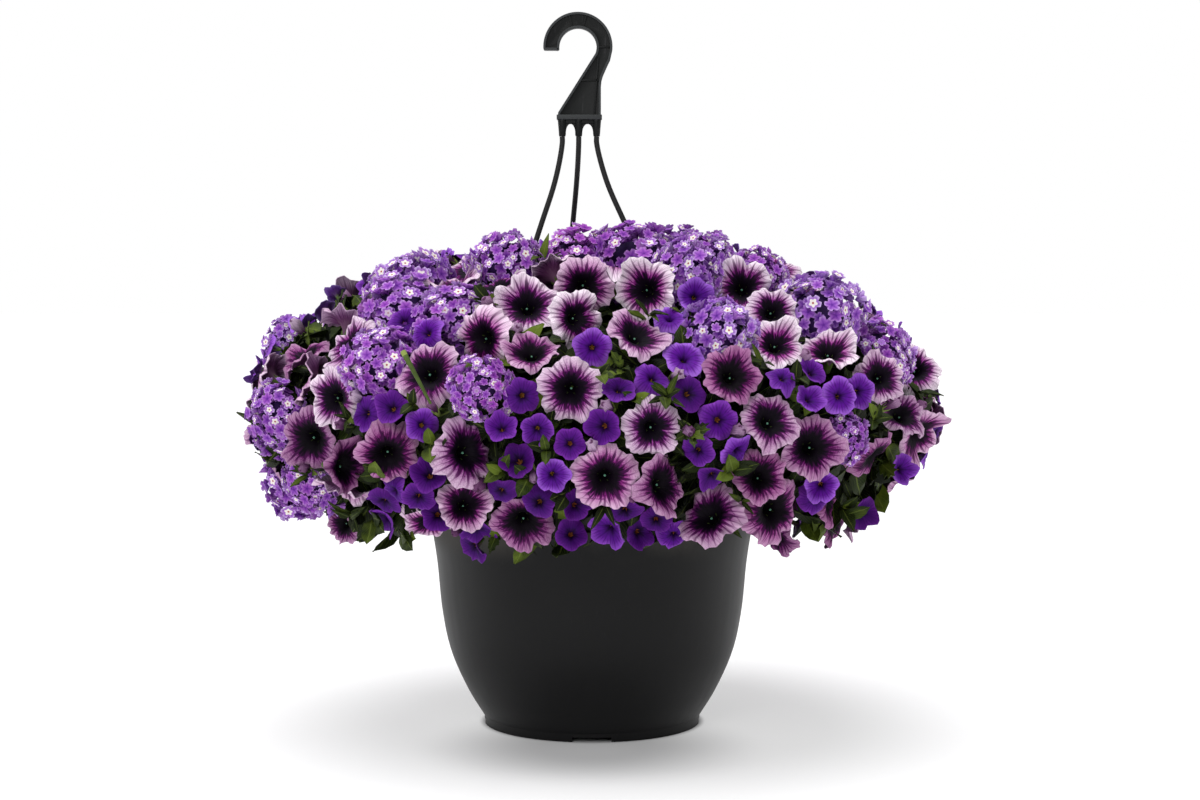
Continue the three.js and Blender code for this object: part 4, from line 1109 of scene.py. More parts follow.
# %% The hook's plate
OUTSIDE, INSIDE, THICK, WEB, BORDER, BORDER_EDGE = 0.0328, 0.0177, 0.009, 0.004, 0.0022, 0.0003
PLATE_LEFT, PLATE_RIGHT, PLATE_FOOT = -0.0325, 0.0085, 0.5753
SHOULDER = [
    (0.0085, 0.607), (0.009, 0.6118), (0.0102, 0.6162), (0.012, 0.6204), (0.0146, 0.6262), (0.0172, 0.6315),
]
OUTER_START, OUTER_END, INNER_START, INNER_END = -4, 185.2, -21, 189.8
hook_bm = bmesh.new()
first = hook_bm.verts.new((PLATE_LEFT, 0, PLATE_FOOT))
last = line_to(hook_bm, first, PLATE_RIGHT, PLATE_FOOT)
for x, z in (*SHOULDER, on_ring(OUTSIDE, OUTER_START)):
    last = line_to(hook_bm, last, x, z)
last = arc(hook_bm, last, OUTER_END - OUTER_START)
last = line_to(hook_bm, last, *on_ring(INSIDE, INNER_END))
last = arc(hook_bm, last, INNER_START - INNER_END)
last = line_to(hook_bm, last, -0.0321, 0.582)
hook_bm.edges.new((last, first))
bmesh.ops.remove_doubles(hook_bm, verts=hook_bm.verts, dist=1e-6)
bmesh.ops.translate(hook_bm, verts=hook_bm.verts, vec=(0, -THICK / 2, 0))
bmesh.ops.edgeloop_fill(hook_bm, edges=hook_bm.edges)
pull_out(hook_bm, (0, THICK, 0))
for side in [f for f in hook_bm.faces if abs(f.normal.y) > 0.9]:
    for width in (BORDER, BORDER_EDGE):
        bmesh.ops.inset_region(hook_bm, faces=[side], thickness=width, depth=0, use_even_offset=True)
    bmesh.ops.translate(hook_bm, verts=side.verts, vec=-side.normal * (THICK - WEB) / 2)
tips = [on_ring(INSIDE, INNER_END), on_ring(OUTSIDE, OUTER_END)]
corners = []
for edge in hook_bm.edges:
    a, b = (v.co for v in edge.verts)
    if abs(a.y - b.y) > 0.5 * THICK and any(math.hypot(a.x - x, a.z - z) < 0.0004 for x, z in tips):
        corners.append(edge)
bevel(hook_bm, corners, 0.0016, 4, clamp=False)
round_edges(hook_bm, 50, 0.0003)
print("softened corners:", len(corners), "hook plate faces:", len(hook_bm.faces))

# %% [markdown]
# ## Ribs, flange and sockets
#
# Thin ribs cross the pockets and keep the hook stiff. Below the plate a flange stands out all round, and a
# fork hangs under it: small arches between three tapered sockets, one for each strand. All of them are
# boxes, cones and an extruded arch, rounded one by one and joined to the plate's mesh, because they only
# have to touch it and no cut is needed.

# %% Ribs and flange
RIB_WIDTH, RIB_INSET = 0.0018, 0.001
RIBS = [((-0.011, 0.6125), (0.008, 0.6125)), ((0.006, 0.634), (0.002, 0.578))]
FLANGE = {"size": (0.043, 0.01, 0.0047), "height": 0.57765, "corner": 0.0006}
FORK = {"size": (0.038, 0.005, 0.006), "height": 0.5743, "corner": 0.0008}
FORK_MIDDLE = -0.012


def add_bm(whole, part):
    """Joins one bmesh into another."""
    mesh = as_mesh(part, "part")
    whole.from_mesh(mesh)
    bpy.data.meshes.remove(mesh)


across = [(on_ring(INSIDE + RIB_INSET, way), on_ring(OUTSIDE - RIB_INSET, way)) for way in (0, 75, 105)]
for (x0, z0), (x1, z1) in RIBS + across:
    size = (math.hypot(x1 - x0, z1 - z0), THICK - 2 * RIB_INSET, RIB_WIDTH)
    rib = box_bm(size, ((x0 + x1) / 2, 0, (z0 + z1) / 2), -math.atan2(z1 - z0, x1 - x0), "Y")
    round_edges(rib, 40, 0.0003)
    add_bm(hook_bm, rib)
for bar in (FLANGE, FORK):
    bar_bm = box_bm(bar["size"], (FORK_MIDDLE, 0, bar["height"]))
    round_edges(bar_bm, 40, bar["corner"], 3)
    add_bm(hook_bm, bar_bm)
print("with ribs and flange:", len(hook_bm.faces), "faces")

# %% Arches and sockets
ARCH_TOP, ARCH_FOOT, ARCH_RISE, ARCH_STEPS, ARCH_HALF_DEPTH = 0.575, 0.561, 0.0105, 12, 0.0019
SOCKET_LOW, SOCKET_HIGH, SOCKET_RADII, SOCKET_WALL = 0.5596, 0.5763, (0.0031, 0.0044), 0.0033
for left, right in zip(SOCKET_X, SOCKET_X[1:]):
    x0, x1 = left / 1000, right / 1000
    half, middle = (x1 - x0) / 2 - SOCKET_WALL, (x0 + x1) / 2
    edge = [(x0, ARCH_TOP), (x0, ARCH_FOOT)]
    for k in range(ARCH_STEPS + 1):
        t = math.pi * (1 - k / ARCH_STEPS)
        edge.append((middle + half * math.cos(t), ARCH_FOOT + ARCH_RISE * math.sin(t) ** 0.8))
    edge += [(x1, ARCH_FOOT), (x1, ARCH_TOP)]
    arch_bm = bmesh.new()
    arch_bm.faces.new([arch_bm.verts.new((x, -ARCH_HALF_DEPTH, z)) for x, z in edge])
    pull_out(arch_bm, (0, 2 * ARCH_HALF_DEPTH, 0))
    add_bm(hook_bm, arch_bm)
for x in SOCKET_X:
    middle = (x / 1000, 0, (SOCKET_LOW + SOCKET_HIGH) / 2)
    socket = tapered_bm(*SOCKET_RADII, SOCKET_HIGH - SOCKET_LOW, 32, middle)
    round_edges(socket, 40, 0.0004)
    add_bm(hook_bm, socket)
make_piece("hook_moulding", as_mesh(hook_bm, "hook"), ["hanger_hook"], [hanger_plastic])

# %% [markdown]
# ## The strands
#
# Each strand is a stiff moulded rod that ends in a clip over the pot's lip. A curve with a round section
# gives the rod. In the photograph the strands bow a few millimetres more than a plain curve from socket
# to lip does, so each has a bow of its own. The clip is a hooked outline that is drawn once and extruded.

# %% The strands and their clips
def rods(name, paths, sides=2):
    """A mesh of round rods along paths of (place, radius) pairs, in metres, with closed ends."""
    curve = bpy.data.curves.new(name, "CURVE")
    curve.dimensions, curve.bevel_depth, curve.bevel_resolution, curve.use_fill_caps = "3D", 1.0, sides, True
    for path in paths:
        spline = curve.splines.new("POLY")
        spline.points.add(len(path) - 1)
        for knot, (place, radius) in zip(spline.points, path):
            knot.co, knot.radius = (*place, 1), radius
    holder = bpy.data.objects.new(name, curve)
    mesh = bpy.data.meshes.new_from_object(holder)
    bpy.data.objects.remove(holder)
    bpy.data.curves.remove(curve)
    return mesh


CLIP = [
    (0.14145, 0.208), (0.14445, 0.208), (0.14445, 0.2153), (0.1503, 0.2153), (0.1503, 0.2087),
    (0.1491, 0.2087), (0.1491, 0.2035), (0.1531, 0.2035), (0.1531, 0.219), (0.14145, 0.219),
]
CLIP_WIDTH = 0.01
STRAND_BOWS = {"left": -7, "back": -4, "right": 4.5}
STRAND_HEIGHT, BOW_END, EXTRA_RADIUS = 340, 0.75, 0.2
for k, (side, most) in enumerate(STRAND_BOWS.items()):
    path = []
    for at in strands[k]:
        down = (strands[k][0][2] - at[2]) / STRAND_HEIGHT
        bow = most * math.sin(math.pi * min(1, down / BOW_END)) ** 2
        path.append(((at + np.array([bow, 0, 0])) / 1000, (STRAND_RADIUS + EXTRA_RADIUS) / 1000))
    strand_bm = bmesh.new()
    strand_bm.from_mesh(rods("rod", [path], 6))
    clip_bm = bmesh.new()
    clip_bm.faces.new([clip_bm.verts.new((r, -CLIP_WIDTH / 2, z)) for r, z in CLIP])
    pull_out(clip_bm, (0, CLIP_WIDTH, 0))
    round_edges(clip_bm, 40, 0.0004)
    turn = Matrix.Rotation(math.radians(STRAND_ANGLES[k]), 4, "Z")
    bmesh.ops.transform(clip_bm, matrix=turn, verts=clip_bm.verts)
    add_bm(strand_bm, clip_bm)
    make_piece("strand_" + side, as_mesh(strand_bm, "strand"), ["hanger_strand_" + side],
               [strand_plastic])

# %% [markdown]
# ## Petunias and calibrachoas
#
# Both are trumpets whose rim spreads into five lobes. A profile from the throat to the rim, spun round,
# gives a smooth trumpet; every vertex is then moved by where it lies: the lobes are notched, each bends
# its own way, and the rim is ruffled. Solidify gives the petal its thickness, and its inner and outer
# skins take different materials. A few different templates are made once and copied to every place.

# %% A bunch that copies are added to
IN_PLACE = Matrix.Identity(4)


def template(bm, name):
    """A mesh to copy, with a tone and a warmth for each of its vertices."""
    for layer in ("tone", "warmth"):
        if layer not in bm.verts.layers.float:
            bm.verts.layers.float.new(layer)
    return as_mesh(bm, name)


def add_copy(bunch, mesh, place, tone=0.5, warmth=0.5, shift=0):
    """Adds a copy of a template to a bunch, its material slots moved on by shift."""
    copy = mesh.copy()
    copy.transform(place)
    for name, value in (("tone", tone), ("warmth", warmth)):
        layer = copy.attributes.get(name) or copy.attributes.new(name, "FLOAT", "POINT")
        layer.data.foreach_set("value", [value] * len(copy.vertices))
    if shift:
        slots = [face.material_index + shift for face in copy.polygons]
        copy.polygons.foreach_set("material_index", slots)
    bunch.from_mesh(copy)
    bpy.data.meshes.remove(copy)


def some(low, high):
    """A number by chance."""
    return float(rng.uniform(low, high))


def within(value):
    """A number kept between nought and one."""
    return float(np.clip(value, 0, 1))


print("ready: template, add_copy, some, within")


# %% Shape a trumpet flower
def smooth_step(value, low, high):
    t = min(max((value - low) / (high - low), 0), 1)
    return t * t * (3 - 2 * t)


def widen(v, factor):
    v.co.x *= factor
    v.co.y *= factor


def angle_of(v):
    return math.atan2(v.co.y, v.co.x)


def on_disc(share, angle):
    """The UV place of a share of the way out and an angle."""
    return 0.5 + 0.5 * share * math.cos(angle), 0.5 + 0.5 * share * math.sin(angle)


def trumpet(name, profile, columns, notch, ruffle, thickness):
    """One unit flower: its rim has radius one and it faces up."""
    bm = spun(profile, columns)
    if sum(f.normal.z for f in bm.faces) < 0:
        bmesh.ops.reverse_faces(bm, faces=bm.faces)
    share = bm.verts.layers.float.new("share")
    around = bm.verts.layers.float.new("around")
    bends = rng.uniform(-0.45, 0.3, LOBES)
    folds, phases = rng.uniform(-0.5, 0.36, 2), rng.uniform(0, math.tau, 4)
    waves = rng.integers(6, 9), rng.integers(11, 15), rng.integers(17, 21)
    for v in bm.verts:
        r, angle = math.hypot(v.co.x, v.co.y), angle_of(v)
        bottom = profile[0][1]
        v[share] = r if r > 0.2 else 0.2 * (v.co.z - bottom) / (-0.25 - bottom)
        v[around] = angle
        out = smooth_step(r, 0.25, 1)
        between_lobes = ((1 - math.cos(LOBES * angle)) / 2) ** 4
        widen(v, 1 - notch * between_lobes * out**2 + 0.02 * math.cos(LOBES * angle) * out)
        lobe = round(angle * LOBES / math.tau) % LOBES
        own = bends[lobe] * (1 + math.cos(LOBES * angle)) / 2
        v.co.z += (0.05 - 0.13 * between_lobes + own) * out**2
        v.co.z += ruffle * math.sin(waves[0] * angle + phases[0]) * out**3
        v.co.z += ruffle * 0.8 * math.sin(waves[1] * angle + phases[1]) * out**4
        widen(v, 1 + 0.5 * ruffle * math.sin(waves[2] * angle + phases[2]) * out**4)
        v.co.z += 0.035 * math.cos(LOBES * angle) * out * (1 - out) * 4
        v.co.z += (folds[0] * v.co.x**2 + folds[1] * v.co.x * v.co.y) * out
        v.co.z -= 0.05 * smooth_step(r, 0.85, 1)
    bm.normal_update()
    front = set(bm.faces)
    bmesh.ops.solidify(bm, geom=bm.faces[:], thickness=thickness)
    disc = bm.loops.layers.uv.new("disc")
    for face in bm.faces:
        face.material_index = 0 if face in front else 1
        for loop in face.loops:
            loop[disc].uv = on_disc(loop.vert[share], loop.vert[around])
    return template(bm, name)


print("ready: trumpet, with", LOBES, "lobes")

# %% Petunia and calibrachoa shapes
PETUNIA_PROFILE = [
    (0.0, -0.8), (0.12, -0.5), (0.18, -0.33), (0.3, -0.19), (0.45, -0.1), (0.6, -0.05),
    (0.75, -0.02), (0.88, 0.0), (0.96, 0.0), (1.0, -0.01),
]
CALIBRACHOA_PROFILE = [
    (0.0, -0.7), (0.12, -0.6), (0.16, -0.25), (0.35, -0.11), (0.65, -0.04), (0.9, 0.0), (1.0, 0.0),
]
petunia_shapes = [
    trumpet("petunia", PETUNIA_PROFILE, columns=54, notch=0.12, ruffle=0.075, thickness=0.022)
    for _ in range(10)
]
calibrachoa_shapes = [
    trumpet("calibrachoa", CALIBRACHOA_PROFILE, columns=26, notch=0.12, ruffle=0.03, thickness=0.035)
    for _ in range(6)
]
for shapes in (petunia_shapes, calibrachoa_shapes):
    print("one", shapes[0].name, "faces:", len(shapes[0].polygons))

# %% [markdown]
# ## How the blooms stand
#
# Most flowers face the light and nod a little, each its own way. Some petunias at the edge of the mound
# turn sideways or show their backs in the photograph, so those have a facing of their own. A verbena head
# stands more upright, and a few at the edges are small.

# %% Stand a unit flower in its place
SMALL, SMALL_SIZE = {(282, 435), (282, 467), (899, 339), (849, 443), (484, 372)}, 0.78
TURNED = {
    (651, 235): (0.1, 0.5, 0.85), (553, 290): (-0.2, 0.35, 0.9), (584, 290): (0.3, 0.35, 0.9),
    (272, 375): (-0.75, 0.6, 0.2), (335, 322): (0, 0.5, 0.85), (808, 278): (0.3, 0.4, 0.85),
    (278, 487): (-0.5, -0.2, -0.8), (293, 348): (-0.6, -0.1, 0.8), (313, 375): (-0.5, -0.25, 0.8),
    (319, 484): (-0.5, 0.1, -0.8), (343, 448): (0.75, -0.6, 0.1), (402, 515): (0.45, -0.6, -0.5),
    (354, 370): (-0.7, -0.5, 0.5), (756, 481): (-0.2, -0.8, 0.6), (930, 445): (0.9, 0.1, -0.3),
    (664, 461): (0.7, -0.7, 0.1), (706, 470): (-0.7, -0.6, 0.3), (909, 429): (0.75, -0.5, 0.4),
    (635, 457): (0.6, -0.7, -0.3), (525, 360): (-0.3, -0.55, 0.75), (469, 426): (0.4, -0.75, 0.5),
    (854, 293): (0.5, 0.2, 0.85), (846, 356): (0.3, -0.6, 0.7),
}
GROWN = {"verbena": (1.2, 1.38), "petunia": (0.95, 1.12), "calibrachoa": (0.9, 1.1)}
NOD = {"verbena": 0.2, "petunia": 0.3, "calibrachoa": 0.28}
KEPT_FACING, HEAD_LEVEL = 0.25, 0.45


def frame_of(axis, turn):
    """A rotation whose Z is the axis, starting nearest upright, turned about it."""
    axis = Vector(axis).normalized()
    up = Vector((0, 0, 1)) if abs(axis.z) < 0.9 else Vector((0, 1, 0))
    x = (up - axis * up.dot(axis)).normalized()
    rotation = Matrix((x, axis.cross(x), axis)).transposed().to_4x4()
    return rotation @ Matrix.Rotation(turn, 4, "Z")


def stand(flower):
    """The matrix that puts a unit flower in its place, in metres. Some petunias show their backs."""
    face = flower.face
    if flower.pixel in TURNED:
        face = unit(face * KEPT_FACING + np.array(TURNED[flower.pixel]))
    if flower.kind == "verbena":
        face = unit(face + HEAD_LEVEL * unit(np.array([face[0], face[1], 0.05])))
    place = Matrix.Translation(Vector(flower.centre) / 1000)
    nod = Euler(rng.normal(0, NOD[flower.kind], 3)).to_matrix().to_4x4()
    size = flower.radius / 1000 * some(*GROWN[flower.kind])
    if flower.pixel in SMALL:
        size *= SMALL_SIZE
    return place @ frame_of(face, flower.turn) @ nod @ Matrix.Scale(size, 4)


def tone_with_painted_light(flower):
    """Brighter, paler blooms towards the top: painted light, with a tone by chance on top of it."""
    height = (flower.at[2] - MOUND_MIDDLE) / MOUND_RISE
    return within(0.41 + 0.4 * height + rng.normal(0, 0.17))


print("turned aside:", len(TURNED), "small heads:", len(SMALL))

# %% [markdown]
# ## Cups, stigmas, stalks and buds
#
# Every trumpet sits in a green cup of five sepals and stands on a thin stalk that bends down into the
# mound, and a petunia has a pale stigma deep in its throat. Between the open flowers there are closed
# buds, slender and pleated. Each is one small shape, spun or made from a ball, and copied with the flowers.

# %% Green cups, the stigma and the stalks
CUP_PROFILE = [(0.0, -0.95), (0.09, -0.91), (0.14, -0.68), (0.15, -0.5)]
STALK_FOOT, STALK_BEND, STALK_REACH, TO_CROWN = 0.9, 14, 85, 0.08


def sepals():
    """Five narrow sepals round the foot of a unit trumpet."""
    bm = spun(CUP_PROFILE, 10)
    for v in bm.verts:
        if v.co.z > -0.7:
            tip = (1 + math.cos(LOBES * angle_of(v))) / 2
            v.co.z += 0.3 * tip - 0.1
            widen(v, 0.9 + 0.5 * tip)
    bm.normal_update()
    bmesh.ops.solidify(bm, geom=bm.faces[:], thickness=0.02)
    return as_mesh(bm, "sepals")


def ball(radius, place):
    """A bmesh of a small round ball."""
    bm = bmesh.new()
    bmesh.ops.create_icosphere(bm, subdivisions=2, radius=radius, matrix=place)
    return bm


def stalk_path(flower, thickness):
    """A stalk from a flower's foot, bending down into the mound."""
    normal = mound_normal(flower.at)
    foot = flower.centre - flower.face * STALK_FOOT * flower.radius
    deep = flower.at - normal * STALK_REACH
    deep = deep + (np.array([0, 0, MOUND_MIDDLE]) - deep) * TO_CROWN
    bend = foot - flower.face * STALK_BEND + (deep - foot) * 0.25
    points = [foot, (foot + bend) / 2, bend, (bend + deep) / 2, deep]
    return [(p / 1000, thickness) for p in points]


sepal_cup = sepals()
stigma_dot = as_mesh(ball(0.036, Matrix.Translation((0.02, 0.01, -0.26))), "stigma")
print("cup faces:", len(sepal_cup.polygons), "stigma faces:", len(stigma_dot.polygons))

# %% One bud
BUD_PROFILE = [(0.0, -0.95), (0.07, -0.9), (0.1, -0.5), (0.17, -0.1), (0.2, 0.12), (0.1, 0.3), (0.0, 0.34)]


def bud():
    """A closed trumpet: a slender twisted cone that swells near its tip."""
    bm = spun(BUD_PROFILE, 10)
    disc = bm.loops.layers.uv.new("disc")
    for f in bm.faces:
        f.material_index = 1
        for loop in f.loops:
            share = 0.35 + 0.6 * smooth_step(loop.vert.co.z, -0.9, 0.3)
            loop[disc].uv = on_disc(share, angle_of(loop.vert))
    for v in bm.verts:
        widen(v, 1 + 0.25 * math.cos(LOBES * (angle_of(v) + v.co.z)))
    return template(bm, "bud")


closed_flower = bud()
print("bud faces:", len(closed_flower.polygons))

# %% Where the buds grow
BUDS = [
    (273, 402), (344, 394), (467, 497), (547, 487), (700, 440), (709, 446), (694, 449), (756, 428),
    (745, 437), (661, 510), (520, 332), (301, 470), (905, 405), (853, 458), (625, 430), (331, 397),
    (590, 455), (740, 345), (455, 505), (420, 392), (812, 352), (690, 372), (880, 310), (296, 330),
    (640, 268), (500, 300), (930, 405),
]
BUD_DEPTH, BUD_ROOM, UNSEEN_BUDS = 8, 1.15, 90
places = [(pixel, near_free(*pixel)) for pixel in BUDS]
buds = [Flower("petunia", at, pixel) for pixel, at in places if at is not None]
for k in range(UNSEEN_BUDS):
    buds.append(Flower("petunia", onto_mound(spread(UNSEEN_BUDS, k) + rng.normal(0, 8, 3))))
planted = list(flowers)
buds_of = {spray: [] for spray in spray_of.values()}
for flower in buds:
    flower.radius *= some(0.7, 1.0)
    flower.depth = BUD_DEPTH
    crowded = [np.linalg.norm(flower.centre - other.centre) < other.radius * BUD_ROOM for other in planted]
    if flower.is_front or not (flower.at[1] < FRONT_DEPTH or any(crowded)):
        buds_of[nearest_spray(flower.at, "petunia")].append(flower)
        planted.append(flower)
print("buds:", sum(map(len, buds_of.values())))

# %% [markdown]
# ## The sprays of petunias and calibrachoas
#
# A spray is one stem with its flowers. Copies of the templates are gathered into one mesh for each spray,
# so that every solid spray is replaced by one finer piece in the same place. A copy takes its tone from
# its height on the mound, as painted light that makes higher blooms paler, and its warmth by chance.

# %% Grow the petunia and calibrachoa sprays
FLOWER_SHARP = 50


def sprays_of(kind):
    """Each spray of a kind, with its own flowers."""
    own = [f for f in flowers if f.kind == kind]
    for spray in sorted({spray_of[f] for f in own}):
        yield spray, [f for f in own if spray_of[f] == spray]


def finish_spray(spray, bunch, growing, thickness, stem_shift, materials):
    """Adds the stalks, and shows the bunch in the place of its solid spray."""
    stalks = rods("stalks", [stalk_path(f, thickness) for f in growing], 1)
    add_copy(bunch, stalks, IN_PLACE, 0.5, 0.4, stem_shift)
    name = spray.replace("spray", "flowers")
    make_piece(name, as_mesh(bunch, spray), [spray], materials, FLOWER_SHARP)


trumpets = {
    "petunia": (petunia_shapes, [petunia_face, petunia_back, stem_green, stigma_paint], 0.0011),
    "calibrachoa": (calibrachoa_shapes, [calibrachoa_face, calibrachoa_back, stem_green], 0.0008),
}
for kind, (shapes, materials, thickness) in trumpets.items():
    for spray, members in sprays_of(kind):
        bunch = bmesh.new()
        for flower in members:
            place = stand(flower)
            tone, warmth = tone_with_painted_light(flower), some(0, 1)
            add_copy(bunch, shapes[rng.integers(len(shapes))], place, tone, warmth)
            add_copy(bunch, sepal_cup, place, tone, 0.4, 2)
            if kind == "petunia":
                add_copy(bunch, stigma_dot, place, tone, warmth, 3)
        for flower in buds_of[spray]:
            place = stand(flower)
            add_copy(bunch, closed_flower, place, tone_with_painted_light(flower), some(0, 1))
            add_copy(bunch, sepal_cup, place, 0.8, 0.7, 2)
        finish_spray(spray, bunch, members + buds_of[spray], thickness, 2, materials)

# %% [markdown]
# ## Verbena heads
#
# A verbena head is a dome of more than a hundred small five-lobed florets on short tubes. One floret has
# only forty faces, because thousands of copies are needed: a disc whose rim is moved into five cleft
# lobes, and a cone behind it. The florets are spread over a lumpy dome by the golden angle, every third
# one deeper and given a low tone, a painted shade, so that dark gaps show between them. A dark plum heart
# fills the head behind them, also a painted shade.

# %% One floret
def floret():
    """A unit floret: five cleft lobes, with a tube behind them."""
    bm = spun([(0.0, -0.08), (1.0, 0.0), (0.0, -0.9)], 20)
    disc = bm.loops.layers.uv.new("disc")
    tip = min(bm.verts, key=lambda v: v.co.z)
    for v in bm.verts:
        wave = math.cos(LOBES * angle_of(v))
        if math.hypot(v.co.x, v.co.y) > 0.9:
            lobes = (1 + wave) / 2
            cleft = max(0, wave) ** 6
            widen(v, 0.62 + 0.44 * lobes**0.5 - 0.12 * cleft)
            v.co.z += 0.14 * lobes - 0.1 * cleft
    for f in bm.faces:
        for loop in f.loops:
            loop[disc].uv = (0.5 + 0.5 * loop.vert.co.x, 0.5 + 0.5 * loop.vert.co.y)
            if loop.vert is tip:
                loop[disc].uv = (0.82, 0.5)
    return template(bm, "floret")


one_floret = floret()
head_heart = template(ball(1, Matrix.Diagonal((0.62, 0.62, 0.5, 1))), "heart")
print("floret faces:", len(one_floret.polygons))

# %% Grow the verbena sprays
FLORETS, DOME_ANGLE, DOME_HEIGHT, DEEPER = 128, math.radians(108), 0.85, 0.76
PINKEST = (560, 266)


def floret_place(k, bumps):
    """The matrix of one floret on a unit head whose dome swells at its bumps."""
    from_top = DOME_ANGLE * math.sqrt((k + 0.3) / (FLORETS - 0.5)) + float(rng.normal(0, 0.06))
    around = GOLDEN_ANGLE * k + float(rng.normal(0, 0.12))
    level = math.sin(from_top)
    way = Vector((level * math.cos(around), level * math.sin(around), math.cos(from_top)))
    swell = 1 + sum(rise * max(0, way.dot(side)) ** 4 for side, rise in bumps)
    out = Vector((way.x, way.y, way.z * DOME_HEIGHT)) * swell * (1 if k % 3 else DEEPER) * some(0.88, 1.06)
    lean = (way + Vector(rng.uniform(-0.42, 0.42, 3))).normalized()
    size = some(0.135, 0.21)
    return Matrix.Translation(out) @ frame_of(lean, some(0, math.tau)) @ Matrix.Scale(size, 4)


for spray, members in sprays_of("verbena"):
    bunch = bmesh.new()
    for flower in members:
        stretch = Matrix.Diagonal((*rng.uniform(0.88, 1.18, 2), some(0.8, 1.1), 1))
        place = stand(flower) @ stretch
        warm = 1.0 if flower.pixel == PINKEST else some(0.05, 0.8)
        tone = 0.5 * tone_with_painted_light(flower) + 0.25
        bumps = [(Vector(rng.normal(size=3)).normalized(), some(-0.22, 0.2)) for _ in range(7)]
        # The head's heart is painted dark plum, a painted shade that shows in the gaps between florets.
        add_copy(bunch, head_heart, place, 0.5, 0.3, 2)
        for k in range(FLORETS):
            local = floret_place(k, bumps)
            # Every third floret sits deeper and takes a low tone, a painted shade.
            own = within(tone + rng.uniform(-0.45, 0.45)) if k % 3 else 0.2
            add_copy(bunch, one_floret, place @ local, own, within(warm + rng.normal(0, 0.15)))
    finish_spray(spray, bunch, members, 0.0014, 1, [verbena_face, stem_green, heart_shade_plum])

# %% [markdown]
# ## Leaves
#
# Four thousand small leaves fill the mound behind the blooms. Each is a few dozen faces: a grid of two
# by five, drawn in to a point at both ends, folded along its midrib and given a thickness. Four outlines
# are enough: a narrower and a flatter broad leaf of the petunia, the calibrachoa's narrow one and the
# verbena's toothed one, which has more rows for its teeth.

# %% Shape the leaves
PLAIN_ROWS, TOOTHED_ROWS = 5, 8


def leaf_shape(name, width, droop, fold, blunt=0.8, teeth=0):
    """A unit leaf along Y, from its foot at the origin to its tip at one."""
    bm = bmesh.new()
    bmesh.ops.create_grid(bm, x_segments=2, y_segments=TOOTHED_ROWS if teeth else PLAIN_ROWS, size=0.5)
    disc = bm.loops.layers.uv.new("disc")
    for f in bm.faces:
        for loop in f.loops:
            loop[disc].uv = (loop.vert.co.x + 0.5, loop.vert.co.y + 0.5)
    for v in bm.verts:
        across, along = v.co.x * 2, v.co.y + 0.5
        is_notch = round(along * TOOTHED_ROWS) % 2
        full = math.sin(math.pi * along**0.75) ** blunt if 0 < along < 1 else 0.04
        if teeth and is_notch:
            full *= 1 - teeth
        v.co.x = across * full * width
        v.co.y = along + 0.06 * abs(across) * (1 if teeth and not is_notch else 0)
        ripple = 0.03 * math.sin(9 * along + 2 * across)
        v.co.z = fold * abs(across) * full * width - droop * along**2 + ripple
    bm.normal_update()
    bmesh.ops.solidify(bm, geom=bm.faces[:], thickness=0.012)
    bmesh.ops.recalc_face_normals(bm, faces=bm.faces)
    return template(bm, name)


leaf_shapes = [
    leaf_shape("broad_leaf", width=0.27, droop=0.25, fold=0.35, blunt=0.55),
    leaf_shape("broad_leaf_flat", width=0.32, droop=0.12, fold=0.2, blunt=0.5),
    leaf_shape("narrow_leaf", width=0.13, droop=0.3, fold=0.4),
    leaf_shape("toothed_leaf", width=0.27, droop=0.2, fold=0.25, teeth=0.4),
]
print("leaf faces:", [len(mesh.polygons) for mesh in leaf_shapes])

# %% [markdown]
# ## Where the leaves grow
#
# Leaves stand on stems that come from inside the mound, so each is tried from a base a few centimetres
# below the surface and leans away from it. One that would cross a bloom is left out. The deeper a leaf
# starts, the darker it is painted, as painted shade. Few are needed where blooms cover the mound, and
# those near the hem hang down, but not in front of the pot.

# %% Find room for the leaves
CANDIDATES = 9000
LEAF_DEPTH, LEAF_LENGTH, LEAF_LEAN = (25, 64), (24, 38), (0.35, 0.75)
FRESH_ABOVE, SHADE_DEPTH = 0.58, 38
SHAPE_SHARES = [0.4, 0.25, 0.2, 0.15]
HANG_BELOW, HANG, SLIGHT_HANG = -0.5, 0.5, 0.1
POT_TOP, POT_ROOM = 0.21, 0.235
FIRST_SECTOR = 42


def leaf_place(base, along, outwards, length):
    """The matrix that lays a unit leaf from its base along a way, its upper side outwards."""
    up = unit(outwards - along * (outwards @ along) + 1e-6)
    turn = Matrix((Vector(np.cross(along, up)), Vector(along), Vector(up))).transposed().to_4x4()
    return Matrix.Translation(Vector(base) / 1000) @ turn @ Matrix.Scale(length / 1000, 4)


def grow_leaf(at, depth, length, lean, hang):
    """A leaf out of the mound, leaning away from the surface. None if a bloom is in its way."""
    normal = mound_normal(at)
    spoke = unit(np.cross(normal, unit(rng.normal(size=3))))
    along = unit(normal * (1 - lean) + spoke * lean + np.array([0, 0, -hang]))
    base = at - normal * depth
    is_clear = is_free([base + along * length * share for share in (0.35, 0.7, 1.0)])
    return leaf_place(base, along, normal, length) if is_clear else None


def sector_of(at):
    """Which of the six leafy sectors a place lies in."""
    degrees = math.degrees(math.atan2(at[1], at[0]))
    return int((degrees - FIRST_SECTOR + 720) * 6 / 360) % 6


